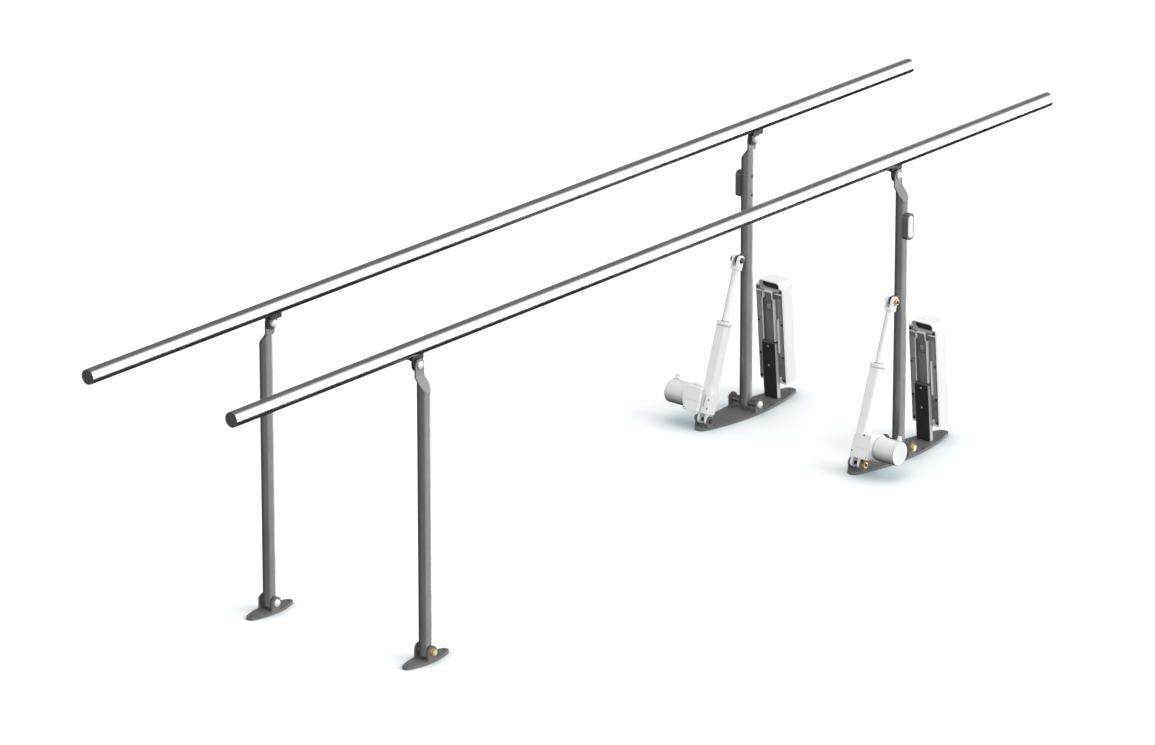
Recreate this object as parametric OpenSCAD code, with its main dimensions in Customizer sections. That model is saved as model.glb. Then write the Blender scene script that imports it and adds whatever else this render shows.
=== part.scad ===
// Height-adjustable walking parallel bars for rehabilitation.
// Two handrails stand on four posts that swing about their feet, so that each
// rail moves as a parallelogram. An electric actuator drives each rear post.
// X runs along the rails, Y across the lane, Z up. The origin lies on the
// floor below the middle of the rails. The left side is the +Y side, and the
// right side is its mirror image. Rest is the highest position.

/* [Rails] */
// Length of each handrail
rail_len = 3500; // [2600:10:4200]
// Outer diameter of the rail tube
rail_d = 42.4; // [38:0.1:50]
// Wall of the rail tube
rail_wall = 2; // [1.5:0.1:4]
// Distance between the centres of the two rails
rail_gap = 504; // [440:1:700]
// Height of the rail tops above the floor
rail_top = 900; // [840:5:1000]
// Length of an end cap inside the rail
cap_len = 20; // [10:1:60]
// Chamfer on the edge of an end cap
cap_chamfer = 1; // [0.3:0.1:2]

/* [Posts] */
// Distance between the front and the rear posts along the rails
post_span = 2060; // [1600:10:2400]
// Outer diameter of a post tube
post_d = 36; // [34:0.5:42]
// Wall of a post tube
post_wall = 2.5; // [1.5:0.1:4]
// Length of the post tube below its foot pivot
post_below = 11.5; // [10:0.1:12]
// Slope of the closing plate on top of a post, in degrees
top_slope = 52; // [45:1:58]
// Thickness of the closing plate and of the ear that it bends into
ear_t = 5; // [4:0.1:6]
// Radius of the ear's round top
ear_r = 17; // [14:0.5:18]
// Distance from the post's centre to the ear's outer face
ear_in = 12; // [10:0.1:12.5]
// Height of the top pivot above the bend of the closing plate
ear_rise = 31; // [26:0.5:38]
// Outer diameter of the pivot sleeve through a rear post
sleeve_d = 22; // [20:0.5:26]

/* [Rail brackets] */
// Height of the rail's centre above the top pivot
pivot_drop = 44.8; // [43:0.1:50]
// Distance from the post's centre plane to the rail's centre plane
rail_in = 27; // [24:0.5:32]
// Thickness of a rail bracket's plate
bracket_t = 6; // [4:0.1:8]
// Radius of the bracket plate round the pivot
bracket_r = 20; // [16:0.5:21]
// Length of the saddle under the rail
saddle_len = 44; // [42:1:80]
// Height of the saddle's underside above the pivot
saddle_z = 14; // [12:0.5:16]
// Reach of the saddle past the rail's centre plane
saddle_reach = 12; // [9:0.5:14]
// Distance between the two screws of a saddle
saddle_pitch = 28; // [26:0.5:60]

/* [Pivot fasteners] */
// Diameter of every pivot bolt
bolt_d = 10; // [8:0.5:10]
// Width across the flats of the pivot nuts
nut_af = 17; // [16:0.5:18]
// Height of a pivot nut
nut_h = 8; // [6:0.5:9]
// Diameter of a round bolt head
head_d = 16; // [14:0.5:17]
// Height of a round bolt head
head_h = 4; // [3:0.5:4.5]
// Outer diameter of a white dome cap
dome_d = 21; // [20.8:0.2:23]
// Height of a dome cap over a bolt head
dome_h = 6.5; // [6:0.1:6.9]
// Height of a dome cap over a nut
dome_nut_h = 12; // [11:0.5:14]
// Outer diameter of the bearing bushes
bush_d = 14; // [13:0.5:15]
// Thickness of a bush's flange
bush_flange = 1.2; // [0.8:0.1:2]
// Diameter of a bush's flange
bush_flange_d = 20; // [18:0.5:22]
// Diameter of the small assembly screws
screw_d = 4; // [3:0.5:5]
// Radial clearance of a pin in its bore
fit = 0.05; // [0.02:0.01:0.08]
// Side clearance between parts that turn past each other
side_gap = 0.3; // [0.3:0.05:0.6]

/* [Floor plates] */
// Thickness of the floor plates
plate_t = 8; // [6:0.5:10]
// Height of the foot pivots above the floor
foot_pivot_h = 30.5; // [29.5:0.5:36]
// Distance between the anchor holes of a rear floor plate
rear_anchor_pitch = 406; // [396:1:430]
// Width of a rear floor plate
rear_plate_w = 103; // [94:1:120]
// Radius of a rear plate's round tips
rear_tip_r = 20; // [14:1:24]
// Distance between the anchor holes of a front floor plate
front_anchor_pitch = 150; // [120:1:220]
// Radius of a front plate's round tips
front_tip_r = 13; // [10:1:16]
// Distance from the rear post to the pair of side anchor holes
side_anchor_x = 64.5; // [60:0.5:90]
// Distance between the two side anchor holes
side_anchor_pitch = 78; // [74:1:80]
// Diameter of the anchor holes
anchor_d = 9; // [7:0.5:10]
// Thickness of the pivot ears on the plates
lug_t = 6; // [4:0.5:7]
// Radius of the foot pivot ears
foot_ear_r = 17; // [14:0.5:20]
// Gap between a front post and each of its ears
front_ear_gap = 2; // [1.8:0.1:4]

/* [Actuator] */
// Distance from the rear post to the actuator's base pivot
base_pivot_x = 190; // [180:1:192]
// Height of the base pivot above the floor
base_pivot_h = 26; // [24:0.5:30]
// Distance from the rear post's centre to the upper actuator pivot
rod_pivot_x = 41; // [38:0.5:46]
// Height of the upper actuator pivot above the floor
rod_pivot_h = 473; // [455:1:480]
// Radius of the base pivot ears on the floor plate
base_ear_r = 14; // [12:0.5:15]
// Radius of the gearbox's own pivot lugs
gear_lug_r = 13; // [11:0.5:14]
// Distance between the outer faces of the gearbox lugs
gear_lug_w = 33.6; // [30:0.2:36]
// Gap between the gearbox lugs
gear_lug_gap = 17; // [12:0.5:20]
// Height of the gearbox's underside above its pivot
gear_z0 = 18; // [17:0.5:22]
// Height of the tube socket's top above the pivot
socket_top = 80; // [74:1:90]
// Height of the motor side's top above the pivot
gear_top = 89; // [82:1:96]
// Half of the motor side's depth
gear_half = 33; // [30:0.5:36]
// Inner edge of the motor side, outward from the tube's centre
gear_y0 = 12; // [10:0.5:14]
// Outer edge of the motor side, outward from the tube's centre
gear_y1 = 52; // [46:0.5:60]
// Height of the motor's axis above the pivot
motor_z = 57; // [52:0.5:60]
// Radius of the flange between gearbox and motor
flange_r = 39; // [36:0.5:42]
// Length of that flange
flange_len = 13; // [8:0.5:18]
// Diameter of the motor
motor_d = 70; // [60:1:74]
// Length of the motor outside its flange
motor_len = 72; // [60:1:100]
// Wall of the motor's can
motor_wall = 2.5; // [1.5:0.1:4]
// Diameter of the cable inlet on the motor
inlet_d = 11; // [8:0.5:14]
// Height of the cable inlet above the motor
inlet_h = 14; // [8:0.5:18]
// Width of the actuator's outer tube
tube_w = 36; // [34:0.5:40]
// Corner radius of the outer tube
tube_r = 8; // [6:0.5:10]
// Bore of the outer tube
tube_bore = 28; // [26:0.5:30]
// Height of the outer tube's top above the base pivot
tube_top = 277; // [270:1:285]
// Height of the collar that ends the tube
collar_h = 13; // [10:0.5:16]
// Step of the collar outside the tube
collar_step = 1.2; // [0.5:0.1:2]
// Depth of the collar's plug inside the tube
collar_plug = 10; // [6:0.5:14]
// Outer diameter of the piston rod
rod_d = 20; // [18:0.5:22]
// Bore of the piston rod
rod_bore = 14; // [13.5:0.1:15]
// Height of the spindle nut on the piston rod
nut_len = 26; // [20:1:34]
// Height of the spindle nut's underside above the base pivot
nut_z = 236; // [234:1:240]
// Diameter of the spindle
spindle_d = 12; // [10:0.5:13]
// Height of the spindle's end above the base pivot
spindle_top = 262; // [254:1:264]
// Outer diameter of the spindle's ball bearing
bearing_d = 30; // [26:0.5:32]
// Height of the ball bearing
bearing_h = 10; // [8:0.5:11]
// Width of the fork on the piston rod
fork_w = 28; // [26:0.5:30]
// Depth of the fork's slot below the pin
fork_slot = 19.5; // [18.5:0.5:22]
// Height of the fork's solid base
fork_base = 10; // [8:0.5:14]
// Thickness of the lug that the fork holds
post_lug_t = 11; // [9:0.5:12]
// Radius of that lug
post_lug_r = 11.5; // [10:0.5:12]

/* [Control box] */
// Width of the control box
box_w = 94; // [88:1:110]
// Height of the control box
box_h = 291; // [270:1:330]
// Depth of the control box with its cover
box_depth = 66; // [56:1:80]
// Height of the box's foot above the floor
box_z = 60; // [50:1:80]
// Distance from the post to the foot of the box's back
box_x = 128; // [126:1:140]
// Lean of the box towards the post, in degrees
box_lean = 4.9; // [3:0.1:6]
// Thickness of the box's back plate
back_t = 4; // [3:0.5:6]
// Wall of the cover
cover_wall = 2.5; // [2:0.5:4]
// Radius of the cover's front edges
cover_r = 22; // [12:1:26]
// Height of the cover's shoulders above the back plate
lid_rise = 3; // [2.5:0.5:6]
// Height of the hood over the finger slot, above the back plate
head_rise = 20.5; // [16:0.5:24]
// Corner radius of the hood
hood_r = 13; // [8:0.5:16]
// Width of the finger slot below the hood
grip_w = 72; // [60:1:74]
// Depth of the finger slot
grip_depth = 20; // [12:0.5:24]
// Distance of the slot's sill below the top of the back plate
grip_low = 10; // [4:0.5:12]
// Height of the ribs on the back plate
rib_h = 8; // [6:0.5:9]
// Distance between the ribs' centres
rib_pitch = 40; // [36:1:44]
// Thickness of a rib
rib_t = 3; // [2:0.5:4]
// Width of the bracket that carries the box
channel_w = 49; // [44:1:66]
// Space between the box and the web of that bracket
channel_gap = 11.5; // [9:0.5:16]
// Thickness of that bracket
channel_t = 3; // [2:0.5:4]
// Bend radius of that bracket
channel_r = 4; // [3.5:0.5:10]
// Height of that bracket's top above the floor
channel_top = 184; // [150:1:200]

/* [Switch] */
// Distance of the rocker switch's centre below the top of the rail
switch_drop = 210; // [200:1:260]
// Height of the switch housing
switch_h = 78; // [74:1:90]
// Width of the switch housing
switch_w = 30; // [29:0.5:36]
// Outer face of the housing, outward from the post's centre
switch_out = 32; // [31:0.5:36]
// Length of the oval rocker
rocker_h = 66; // [60:1:67]
// Width of the oval rocker
rocker_w = 22; // [18:0.5:23]
// Thickness of the rocker
rocker_t = 7.5; // [6:0.5:9]
// Distance between the two switch screws
switch_pitch = 57; // [54:0.5:60]

/* [Hidden] */
switch_z = rail_top - switch_drop;
$fn = 48;
eps = 0.01;

post_x = post_span / 2;
post_y = rail_gap / 2 + rail_in;
post_r = post_d / 2;
rail_r = rail_d / 2;
rail_z = rail_top - rail_r;
top_z = rail_z - pivot_drop;
bolt_r = bolt_d / 2;
bore_r = bolt_r + fit;
bend_z = top_z - ear_rise;

// Layers of the top joint, inward from the post's centre plane
ear_face = ear_in + ear_t;
bracket_face = ear_face + bush_flange + side_gap;
bracket_back = bracket_face + bracket_t;

// Foot joints: inner face of the ears, measured from the post's centre
front_ear_y = post_r + front_ear_gap;
rear_ear_y = rear_plate_w / 2 - 0.5 - lug_t;
front_plate_w = 2 * (front_ear_y + lug_t + 1);

// Actuator: pivots, lean and length at rest
act_dx = base_pivot_x - rod_pivot_x;
act_dz = rod_pivot_h - base_pivot_h;
act_len = sqrt(act_dx * act_dx + act_dz * act_dz);
act_lean = atan2(act_dx, act_dz);
gear_lug_out = gear_lug_w / 2;
base_ear_y = gear_lug_out + side_gap + 0.4;
motor_y0 = gear_y1 + flange_len;
motor_y1 = motor_y0 + motor_len;
fork_z0 = act_len - fork_slot - fork_base;
fork_slot_w = post_lug_t + 1;
bearing_z = gear_z0 + 9;
bevel_z = motor_z;

// Small screws
screw_r = screw_d / 2;

// Rise of the dome caps' faces, and the radius of their round
dome_rise = 3.2;
dome_round_r = (dome_d * dome_d / 4 + dome_rise * dome_rise) / (2 * dome_rise);

// General shapes

module on_left() { translate([0, post_y, 0]) children(); }
module on_right() { mirror([0, 1, 0]) translate([0, post_y, 0]) children(); }
module both_sides() {
    on_left() children();
    on_right() children();
}
module rear() { translate([post_x, 0, 0]) children(); }
module front() { translate([-post_x, 0, 0]) children(); }

// A round bar along Y from y0 to y1
module y_bar(r, y0, y1) {
    translate([0, y0, 0]) rotate([-90, 0, 0]) cylinder(r = r, h = y1 - y0);
}

// A hex bar along Y from y0 to y1
module y_hex(af, y0, y1) {
    translate([0, y0, 0]) rotate([-90, 0, 0]) rotate(30) cylinder(d = af / cos(30), h = y1 - y0, $fn = 6);
}

// A rectangle with round corners, centred
module round_rect(w, h, r) {
    square([w - 2 * r, h], center = true);
    square([w, h - 2 * r], center = true);
    for (x = [-1, 1], y = [-1, 1]) translate([x * (w / 2 - r), y * (h / 2 - r)]) circle(r = r);
}

// A shape drawn in X and Z, given a thickness from y0 to y1
module xz_plate(y0, y1) {
    translate([0, y1, 0]) rotate([90, 0, 0]) linear_extrude(y1 - y0) children();
}

// A white cap with a domed face, closed at y = h, hollow for what it covers
module dome(h, inner_r, inner_h) {
    side = h - dome_rise;
    rotate([-90, 0, 0]) difference() {
        union() {
            cylinder(d = dome_d, h = side);
            intersection() {
                cylinder(d = dome_d, h = h);
                translate([0, 0, h - dome_round_r]) sphere(r = dome_round_r, $fn = 64);
            }
        }
        translate([0, 0, -eps]) cylinder(r = inner_r, h = inner_h + eps);
    }
}

// Outline of a floor plate: two large arcs that run smoothly into round tips
module lens_outline(pitch, width, tip_r) {
    c = pitch / 2;
    hw = width / 2;
    big = (c * c + hw * hw - tip_r * tip_r) / (2 * (hw - tip_r));
    turn = atan2(c, big - hw);
    side = [for (i = [-arc_steps:arc_steps]) big * [sin(turn * i / arc_steps), cos(turn * i / arc_steps)] - [0, big - hw]];
    tip = [for (i = [1:2 * arc_steps - 1])
        [c, 0] + tip_r * [cos(lens_tip_a(turn, i)), sin(lens_tip_a(turn, i))]];
    half = concat(side, tip);
    polygon(concat(half, -half));
}
arc_steps = 16;
function lens_tip_a(turn, i) = (90 - turn) * (1 - i / arc_steps);

// Outline in X and Z of an ear that stands on the floor plate
module ear_outline(r, pivot_z) {
    translate([0, pivot_z]) circle(r = r);
    translate([-r, plate_t - 1]) square([2 * r, pivot_z - plate_t + 1]);
}

// Floor plates

module rear_base_plate() {
    color("dimgray") difference() {
        union() {
            linear_extrude(plate_t) lens_outline(rear_anchor_pitch, rear_plate_w, rear_tip_r);
            for (s = [-1, 1]) {
                y0 = s > 0 ? rear_ear_y : -rear_ear_y - lug_t;
                xz_plate(y0, y0 + lug_t) ear_outline(foot_ear_r, foot_pivot_h);
                b0 = s > 0 ? base_ear_y : -base_ear_y - lug_t;
                translate([-base_pivot_x, 0, 0]) xz_plate(b0, b0 + lug_t) ear_outline(base_ear_r, base_pivot_h);
            }
            box_channel();
        }
        translate([0, 0, foot_pivot_h]) y_bar(bore_r, -rear_plate_w, rear_plate_w);
        translate([-base_pivot_x, 0, base_pivot_h]) y_bar(bore_r, -rear_plate_w, rear_plate_w);
        anchor_holes(rear_anchor_pitch);
        translate([side_anchor_x, 0, 0]) rotate(90) anchor_holes(side_anchor_pitch);
    }
}

module anchor_holes(pitch) {
    for (s = [-1, 1]) translate([s * pitch / 2, 0, -eps]) cylinder(d = anchor_d, h = plate_t + 2 * eps);
}

// Folded bracket behind the control box: web towards the post, sides towards the box
module box_channel() {
    outer = channel_depth_max();
    difference() {
        intersection() {
            box_frame() translate([-channel_gap - channel_t, 0, -box_z - 20])
                linear_extrude(channel_top + 40) channel_outline(outer);
            translate([box_x - 60, -box_w, plate_t - 1]) cube([120, 2 * box_w, channel_top - plate_t + 1]);
        }
        box_frame() for (z = channel_screw_z()) translate([-channel_gap - channel_t - 1, 0, z]) rotate([0, 90, 0])
            cylinder(r = screw_r + fit, h = channel_t + 2);
    }
}
function channel_depth_max() = channel_gap + channel_t - 0.2;
function channel_screw_z() = [52, 112];

// Section of the bracket: a U with round bends, web at x = 0
module channel_outline(depth) {
    inner_w = channel_w - 2 * channel_t;
    intersection() {
        translate([0, -channel_w]) square([depth, 2 * channel_w]);
        difference() {
            round_end_slot(channel_w, channel_r);
            translate([channel_t, 0]) round_end_slot(inner_w, channel_r - channel_t);
        }
    }
}

// Outline that starts at x = 0, w wide, with its two near corners rounded
module round_end_slot(w, r) {
    translate([r, 0]) square([2 * r, w - 2 * r], center = true);
    for (s = [-1, 1]) translate([r, s * (w / 2 - r)]) circle(r = r);
    translate([r, -w / 2]) square([channel_w, w]);
}

module front_base_plate() {
    color("dimgray") difference() {
        union() {
            linear_extrude(plate_t) lens_outline(front_anchor_pitch, front_plate_w, front_tip_r);
            for (s = [-1, 1]) {
                y0 = s > 0 ? front_ear_y : -front_ear_y - lug_t;
                xz_plate(y0, y0 + lug_t) ear_outline(foot_ear_r, foot_pivot_h);
            }
        }
        translate([0, 0, foot_pivot_h]) y_bar(bore_r, -front_plate_w, front_plate_w);
        anchor_holes(front_anchor_pitch);
    }
}

// Foot pivot fasteners

// Bolt with its head on the lane side; ear_y is the inner face of the ears
module foot_bolt(ear_y) {
    out = ear_y + lug_t;
    translate([0, 0, foot_pivot_h]) {
        y_bar(bolt_r, -out - head_h, out + nut_h + 2);
        y_bar(head_d / 2, -out - head_h, -out);
    }
}

module foot_pivot_bolts() {
    color("silver") both_sides() {
        rear() foot_bolt(rear_ear_y);
        front() foot_bolt(front_ear_y);
    }
}

// Hex nut with a washer face
module pivot_nut(y0) {
    difference() {
        union() {
            y_bar(nut_af / 2 + 1.5, y0, y0 + 1.5);
            intersection() {
                y_hex(nut_af, y0 + 1, y0 + nut_h);
                translate([0, y0, 0]) rotate([-90, 0, 0]) cylinder(r1 = nut_af / 2 + 4, r2 = nut_af / 2 + 0.2, h = nut_h);
            }
        }
        y_bar(bore_r, y0 - 1, y0 + nut_h + 1);
    }
}

module pivot_nuts() {
    color("goldenrod") both_sides() {
        rear() translate([0, 0, foot_pivot_h]) pivot_nut(rear_ear_y + lug_t);
        front() translate([0, 0, foot_pivot_h]) pivot_nut(front_ear_y + lug_t);
        rear() translate([-base_pivot_x, 0, base_pivot_h]) pivot_nut(base_ear_y + lug_t);
    }
}

module foot_cap(ear_y) {
    translate([0, -ear_y - lug_t, foot_pivot_h]) mirror([0, 1, 0]) dome(dome_h, head_d / 2 + fit, head_h + fit);
}

module foot_pivot_caps() {
    color("white") both_sides() {
        rear() foot_cap(rear_ear_y);
        front() foot_cap(front_ear_y);
    }
}

module actuator_base_pins() {
    out = base_ear_y + lug_t;
    color("darkslategray") both_sides() rear() translate([-base_pivot_x, 0, base_pivot_h]) {
        y_bar(bolt_r, -out, out + nut_h + 2);
        y_bar(head_d / 2, -out - head_h, -out);
    }
}

// Posts

// Tube, slanted closing plate and ear: the part that all four posts share
module post_top() {
    plate_len = 2 * post_d;
    difference() {
        union() {
            difference() {
                translate([0, 0, foot_pivot_h - post_below]) cylinder(r = post_r, h = top_z - foot_pivot_h + post_below);
                slope_frame() translate([-post_d, -plate_len, -ear_t / 2]) cube([2 * post_d, 2 * plate_len, 3 * plate_len]);
                translate([-post_d, -plate_len, bend_z]) cube([2 * post_d, 2 * plate_len, 2 * plate_len]);
            }
            intersection() {
                slope_frame() translate([-post_d, 0, -ear_t]) cube([2 * post_d, plate_len, ear_t]);
                translate([0, 0, bend_z - 3 * post_d]) linear_extrude(4 * post_d) {
                    circle(r = post_r);
                    translate([-ear_r, -ear_face]) square([2 * ear_r, ear_face]);
                }
            }
            xz_plate(-ear_face, -ear_in) {
                translate([0, top_z]) circle(r = ear_r);
                translate([-ear_r, bend_z - ear_t / 2]) square([2 * ear_r, top_z - bend_z + ear_t / 2]);
            }
        }
        translate([0, 0, foot_pivot_h - post_below - eps])
            cylinder(r = post_r - post_wall, h = bend_z - foot_pivot_h - 2 * post_d);
        post_inner_top();
        translate([0, 0, top_z]) y_bar(bush_d / 2 + fit, -ear_face - 1, -ear_in + 1);
    }
}

// Frame whose XY plane is the upper face of the slanted plate, y running down the slope
module slope_frame() {
    translate([0, -ear_in, bend_z]) rotate([-top_slope, 0, 0]) children();
}

// Hollow of the tube under the slanted plate
module post_inner_top() {
    z0 = bend_z - 2 * post_d - post_below - 1;
    difference() {
        translate([0, 0, z0]) cylinder(r = post_r - post_wall, h = 3 * post_d);
        slope_frame() translate([-post_d, -3 * post_d, -ear_t]) cube([2 * post_d, 6 * post_d, 4 * post_d]);
        translate([-post_d, -3 * post_d, bend_z - ear_t]) cube([2 * post_d, 6 * post_d, 4 * post_d]);
    }
}

// Welded cross sleeve for the foot pivot
module foot_sleeve_solid(half) { translate([0, 0, foot_pivot_h]) y_bar(sleeve_d / 2, -half, half); }
module foot_sleeve_bore(half) { translate([0, 0, foot_pivot_h]) y_bar(bush_d / 2 + fit, -half - 1, half + 1); }
rear_sleeve = rear_ear_y - side_gap - bush_flange;
front_sleeve = front_ear_y - side_gap - bush_flange;

module rear_post() {
    color("dimgray") difference() {
        union() {
            post_top();
            foot_sleeve_solid(rear_sleeve);
            post_lug();
        }
        foot_sleeve_bore(rear_sleeve);
        for (s = [-1, 1]) translate([0, 0, switch_z + s * switch_pitch / 2]) {
            y_bar(screw_r + fit, 0, post_d);
            y_bar(switch_head_r + 0.5, -post_d, 0);
        }
    }
}
switch_head_r = 3.6;

// Lug under the fork: an open hook, so that the fork's pin can leave it a little in mid travel
module post_lug() {
    notch = bolt_r + side_gap;
    way = notch - 0.1;
    translate([-rod_pivot_x, 0, rod_pivot_h]) difference() {
        xz_plate(-post_lug_t / 2, post_lug_t / 2) {
            circle(r = post_lug_r);
            translate([0, -post_lug_r]) square([rod_pivot_x - post_r + 1.5, 2 * post_lug_r]);
        }
        y_bar(notch, -post_lug_t, post_lug_t);
        for (a = [15, 21, 28]) rotate([0, a, 0])
            translate([-2 * post_lug_r, -post_lug_t, -way]) cube([2 * post_lug_r, 2 * post_lug_t, 2 * way]);
    }
}

module front_post() {
    color("dimgray") difference() {
        union() {
            post_top();
            foot_sleeve_solid(front_sleeve);
        }
        foot_sleeve_bore(front_sleeve);
    }
}

// Flanged bush along Y: body from y0 inwards by len, flange outside on the side dir
module bush(y_face, dir, len) {
    y0 = dir > 0 ? y_face - len : y_face - bush_flange;
    y1 = dir > 0 ? y_face + bush_flange : y_face + len;
    f0 = dir > 0 ? y_face : y_face - bush_flange;
    difference() {
        union() {
            y_bar(bush_d / 2, y0, y1);
            y_bar(bush_flange_d / 2, f0, f0 + bush_flange);
        }
        y_bar(bore_r, y0 - 1, y1 + 1);
    }
}
bush_len = 15;

module post_bushes(sleeve) {
    for (s = [-1, 1]) translate([0, 0, foot_pivot_h]) bush(s * sleeve, s, bush_len);
    translate([0, 0, top_z]) bush(-ear_face, -1, ear_t);
}
module rear_bushes() { color("gold") post_bushes(rear_sleeve); }
module front_bushes() { color("gold") post_bushes(front_sleeve); }

// Rocker switch on the outer side of a rear post

rocker_y0 = switch_out - rocker_t + 3;
pocket_y0 = rocker_y0 - 4;
module switch_housing() {
    color([0.2, 0.2, 0.21]) difference() {
        translate([0, 0, switch_z]) xz_plate(post_r - 5, switch_out) round_rect(switch_w, switch_h, switch_w * 0.4);
        translate([0, 0, switch_z - switch_h]) cylinder(r = post_r + fit, h = 2 * switch_h);
        translate([0, 0, switch_z]) xz_plate(pocket_y0, switch_out + 1)
            round_rect(rocker_w + 2, rocker_h + 2, (rocker_w + 2) / 2 - eps);
        translate([0, rocker_axis_y, switch_z]) rotate([0, 90, 0])
            cylinder(r = rocker_pin_r + fit, h = switch_w - 2, center = true);
        for (s = [-1, 1]) translate([0, 0, switch_z + s * switch_pitch / 2]) y_bar(screw_r + fit, 0, pocket_y0 - 0.6);
    }
}
rocker_axis_y = rocker_y0 + 2.2;
rocker_pin_r = 1.6;

module switch_rocker() {
    color("white") {
        translate([0, 0, switch_z]) xz_plate(rocker_y0, rocker_y0 + rocker_t - 1.5)
            round_rect(rocker_w, rocker_h, rocker_w / 2 - eps);
        translate([0, 0, switch_z]) xz_plate(rocker_y0, rocker_y0 + rocker_t)
            round_rect(rocker_w - 3, rocker_h - 3, rocker_w / 2 - 1.5 - eps);
        translate([0, rocker_axis_y, switch_z]) rotate([0, 90, 0])
            cylinder(r = rocker_pin_r, h = switch_w - 3, center = true);
    }
}

// Screws from inside the tube into the housing
module switch_screws() {
    seat = post_r - post_wall - 0.6;
    color("silver") for (s = [-1, 1]) translate([0, 0, switch_z + s * switch_pitch / 2]) {
        y_bar(screw_r, seat - 1, pocket_y0 - 0.8);
        y_bar(switch_head_r, seat - 3, seat);
    }
}

// Rails

module rail() {
    color("gainsboro") translate([0, -rail_in, rail_z]) difference() {
        rotate([0, 90, 0]) cylinder(r = rail_r, h = rail_len, center = true);
        rotate([0, 90, 0]) cylinder(r = rail_r - rail_wall, h = rail_len + 2, center = true);
        for (p = [-1, 1], s = [-1, 1])
            translate([p * post_x + s * saddle_pitch / 2, rail_in - saddle_screw_in, -rail_r - 1])
                cylinder(r = saddle_screw_r + fit, h = rail_r);
    }
}
saddle_screw_r = 3;
saddle_head_r = 4.2;
saddle_screw_in = bracket_back + saddle_head_r + side_gap;

module rail_end_caps() {
    cap_r = rail_r - rail_wall - fit;
    color([0.3, 0.3, 0.31]) translate([0, -rail_in, rail_z]) for (s = [0, 1]) mirror([s, 0, 0])
        translate([rail_len / 2 - cap_len, 0, 0]) rotate([0, 90, 0]) {
            cylinder(r = cap_r, h = cap_len - cap_chamfer);
            cylinder(r = cap_r - cap_chamfer, h = cap_len);
        }
}

// Plate on the inner side of the ear, with a saddle that carries the rail
module rail_bracket() {
    difference() {
        union() {
            xz_plate(-bracket_back, -bracket_face) {
                translate([0, top_z]) circle(r = bracket_r);
                translate([-bracket_r, top_z]) square([2 * bracket_r, rail_z - top_z]);
            }
            translate([-saddle_len / 2, -rail_in - saddle_reach, top_z + saddle_z])
                cube([saddle_len, rail_in + saddle_reach - bracket_face, rail_z - top_z - saddle_z - rail_r * 0.75]);
        }
        translate([0, -rail_in, rail_z]) rotate([0, 90, 0]) cylinder(r = rail_r + fit, h = 4 * saddle_len, center = true);
        translate([0, 0, top_z]) y_bar(bore_r, -bracket_back - 1, -bracket_face + 1);
        for (s = [-1, 1]) translate([s * saddle_pitch / 2, -saddle_screw_in, top_z])
            cylinder(r = saddle_screw_r + fit, h = rail_z - top_z);
    }
}

module rail_brackets() {
    color([0.1, 0.1, 0.11]) {
        rear() rail_bracket();
        front() rail_bracket();
    }
}

// Top pivot bolt and nut, and the two screws that hold the rail to its saddle
module rail_joint_fasteners() {
    head_y = -ear_in + side_gap;
    translate([0, 0, top_z]) {
        y_bar(bolt_r, -bracket_back - nut_h - 1, head_y);
        y_bar(head_d / 2, head_y, head_y + head_h);
        difference() {
            y_hex(head_d, -bracket_back - nut_h, -bracket_back);
            y_bar(bore_r, -bracket_back - nut_h - 1, -bracket_back + 1);
        }
    }
    for (s = [-1, 1]) translate([s * saddle_pitch / 2, -saddle_screw_in, top_z + saddle_z]) {
        translate([0, 0, -3.5]) cylinder(r = saddle_head_r, h = 3.5);
        cylinder(r = saddle_screw_r, h = rail_z - top_z - saddle_z - rail_r + rail_wall + 3);
    }
}

module rail_fasteners() {
    color("silver") {
        rear() rail_joint_fasteners();
        front() rail_joint_fasteners();
    }
}

module rail_joint_caps() {
    translate([0, -ear_in + side_gap, top_z]) dome(dome_h, head_d / 2 + fit, head_h + fit);
    translate([0, -bracket_back, top_z]) mirror([0, 1, 0]) dome(dome_nut_h, head_d / 2 / cos(30) + fit, nut_h + 1 + fit);
}

module rail_pivot_caps() {
    color("white") {
        rear() rail_joint_caps();
        front() rail_joint_caps();
    }
}

// Actuator, in a frame whose origin is the base pivot and whose Z runs along the spindle

module act_frame() {
    translate([post_x - base_pivot_x, 0, base_pivot_h]) rotate([0, act_lean, 0]) children();
}

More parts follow.
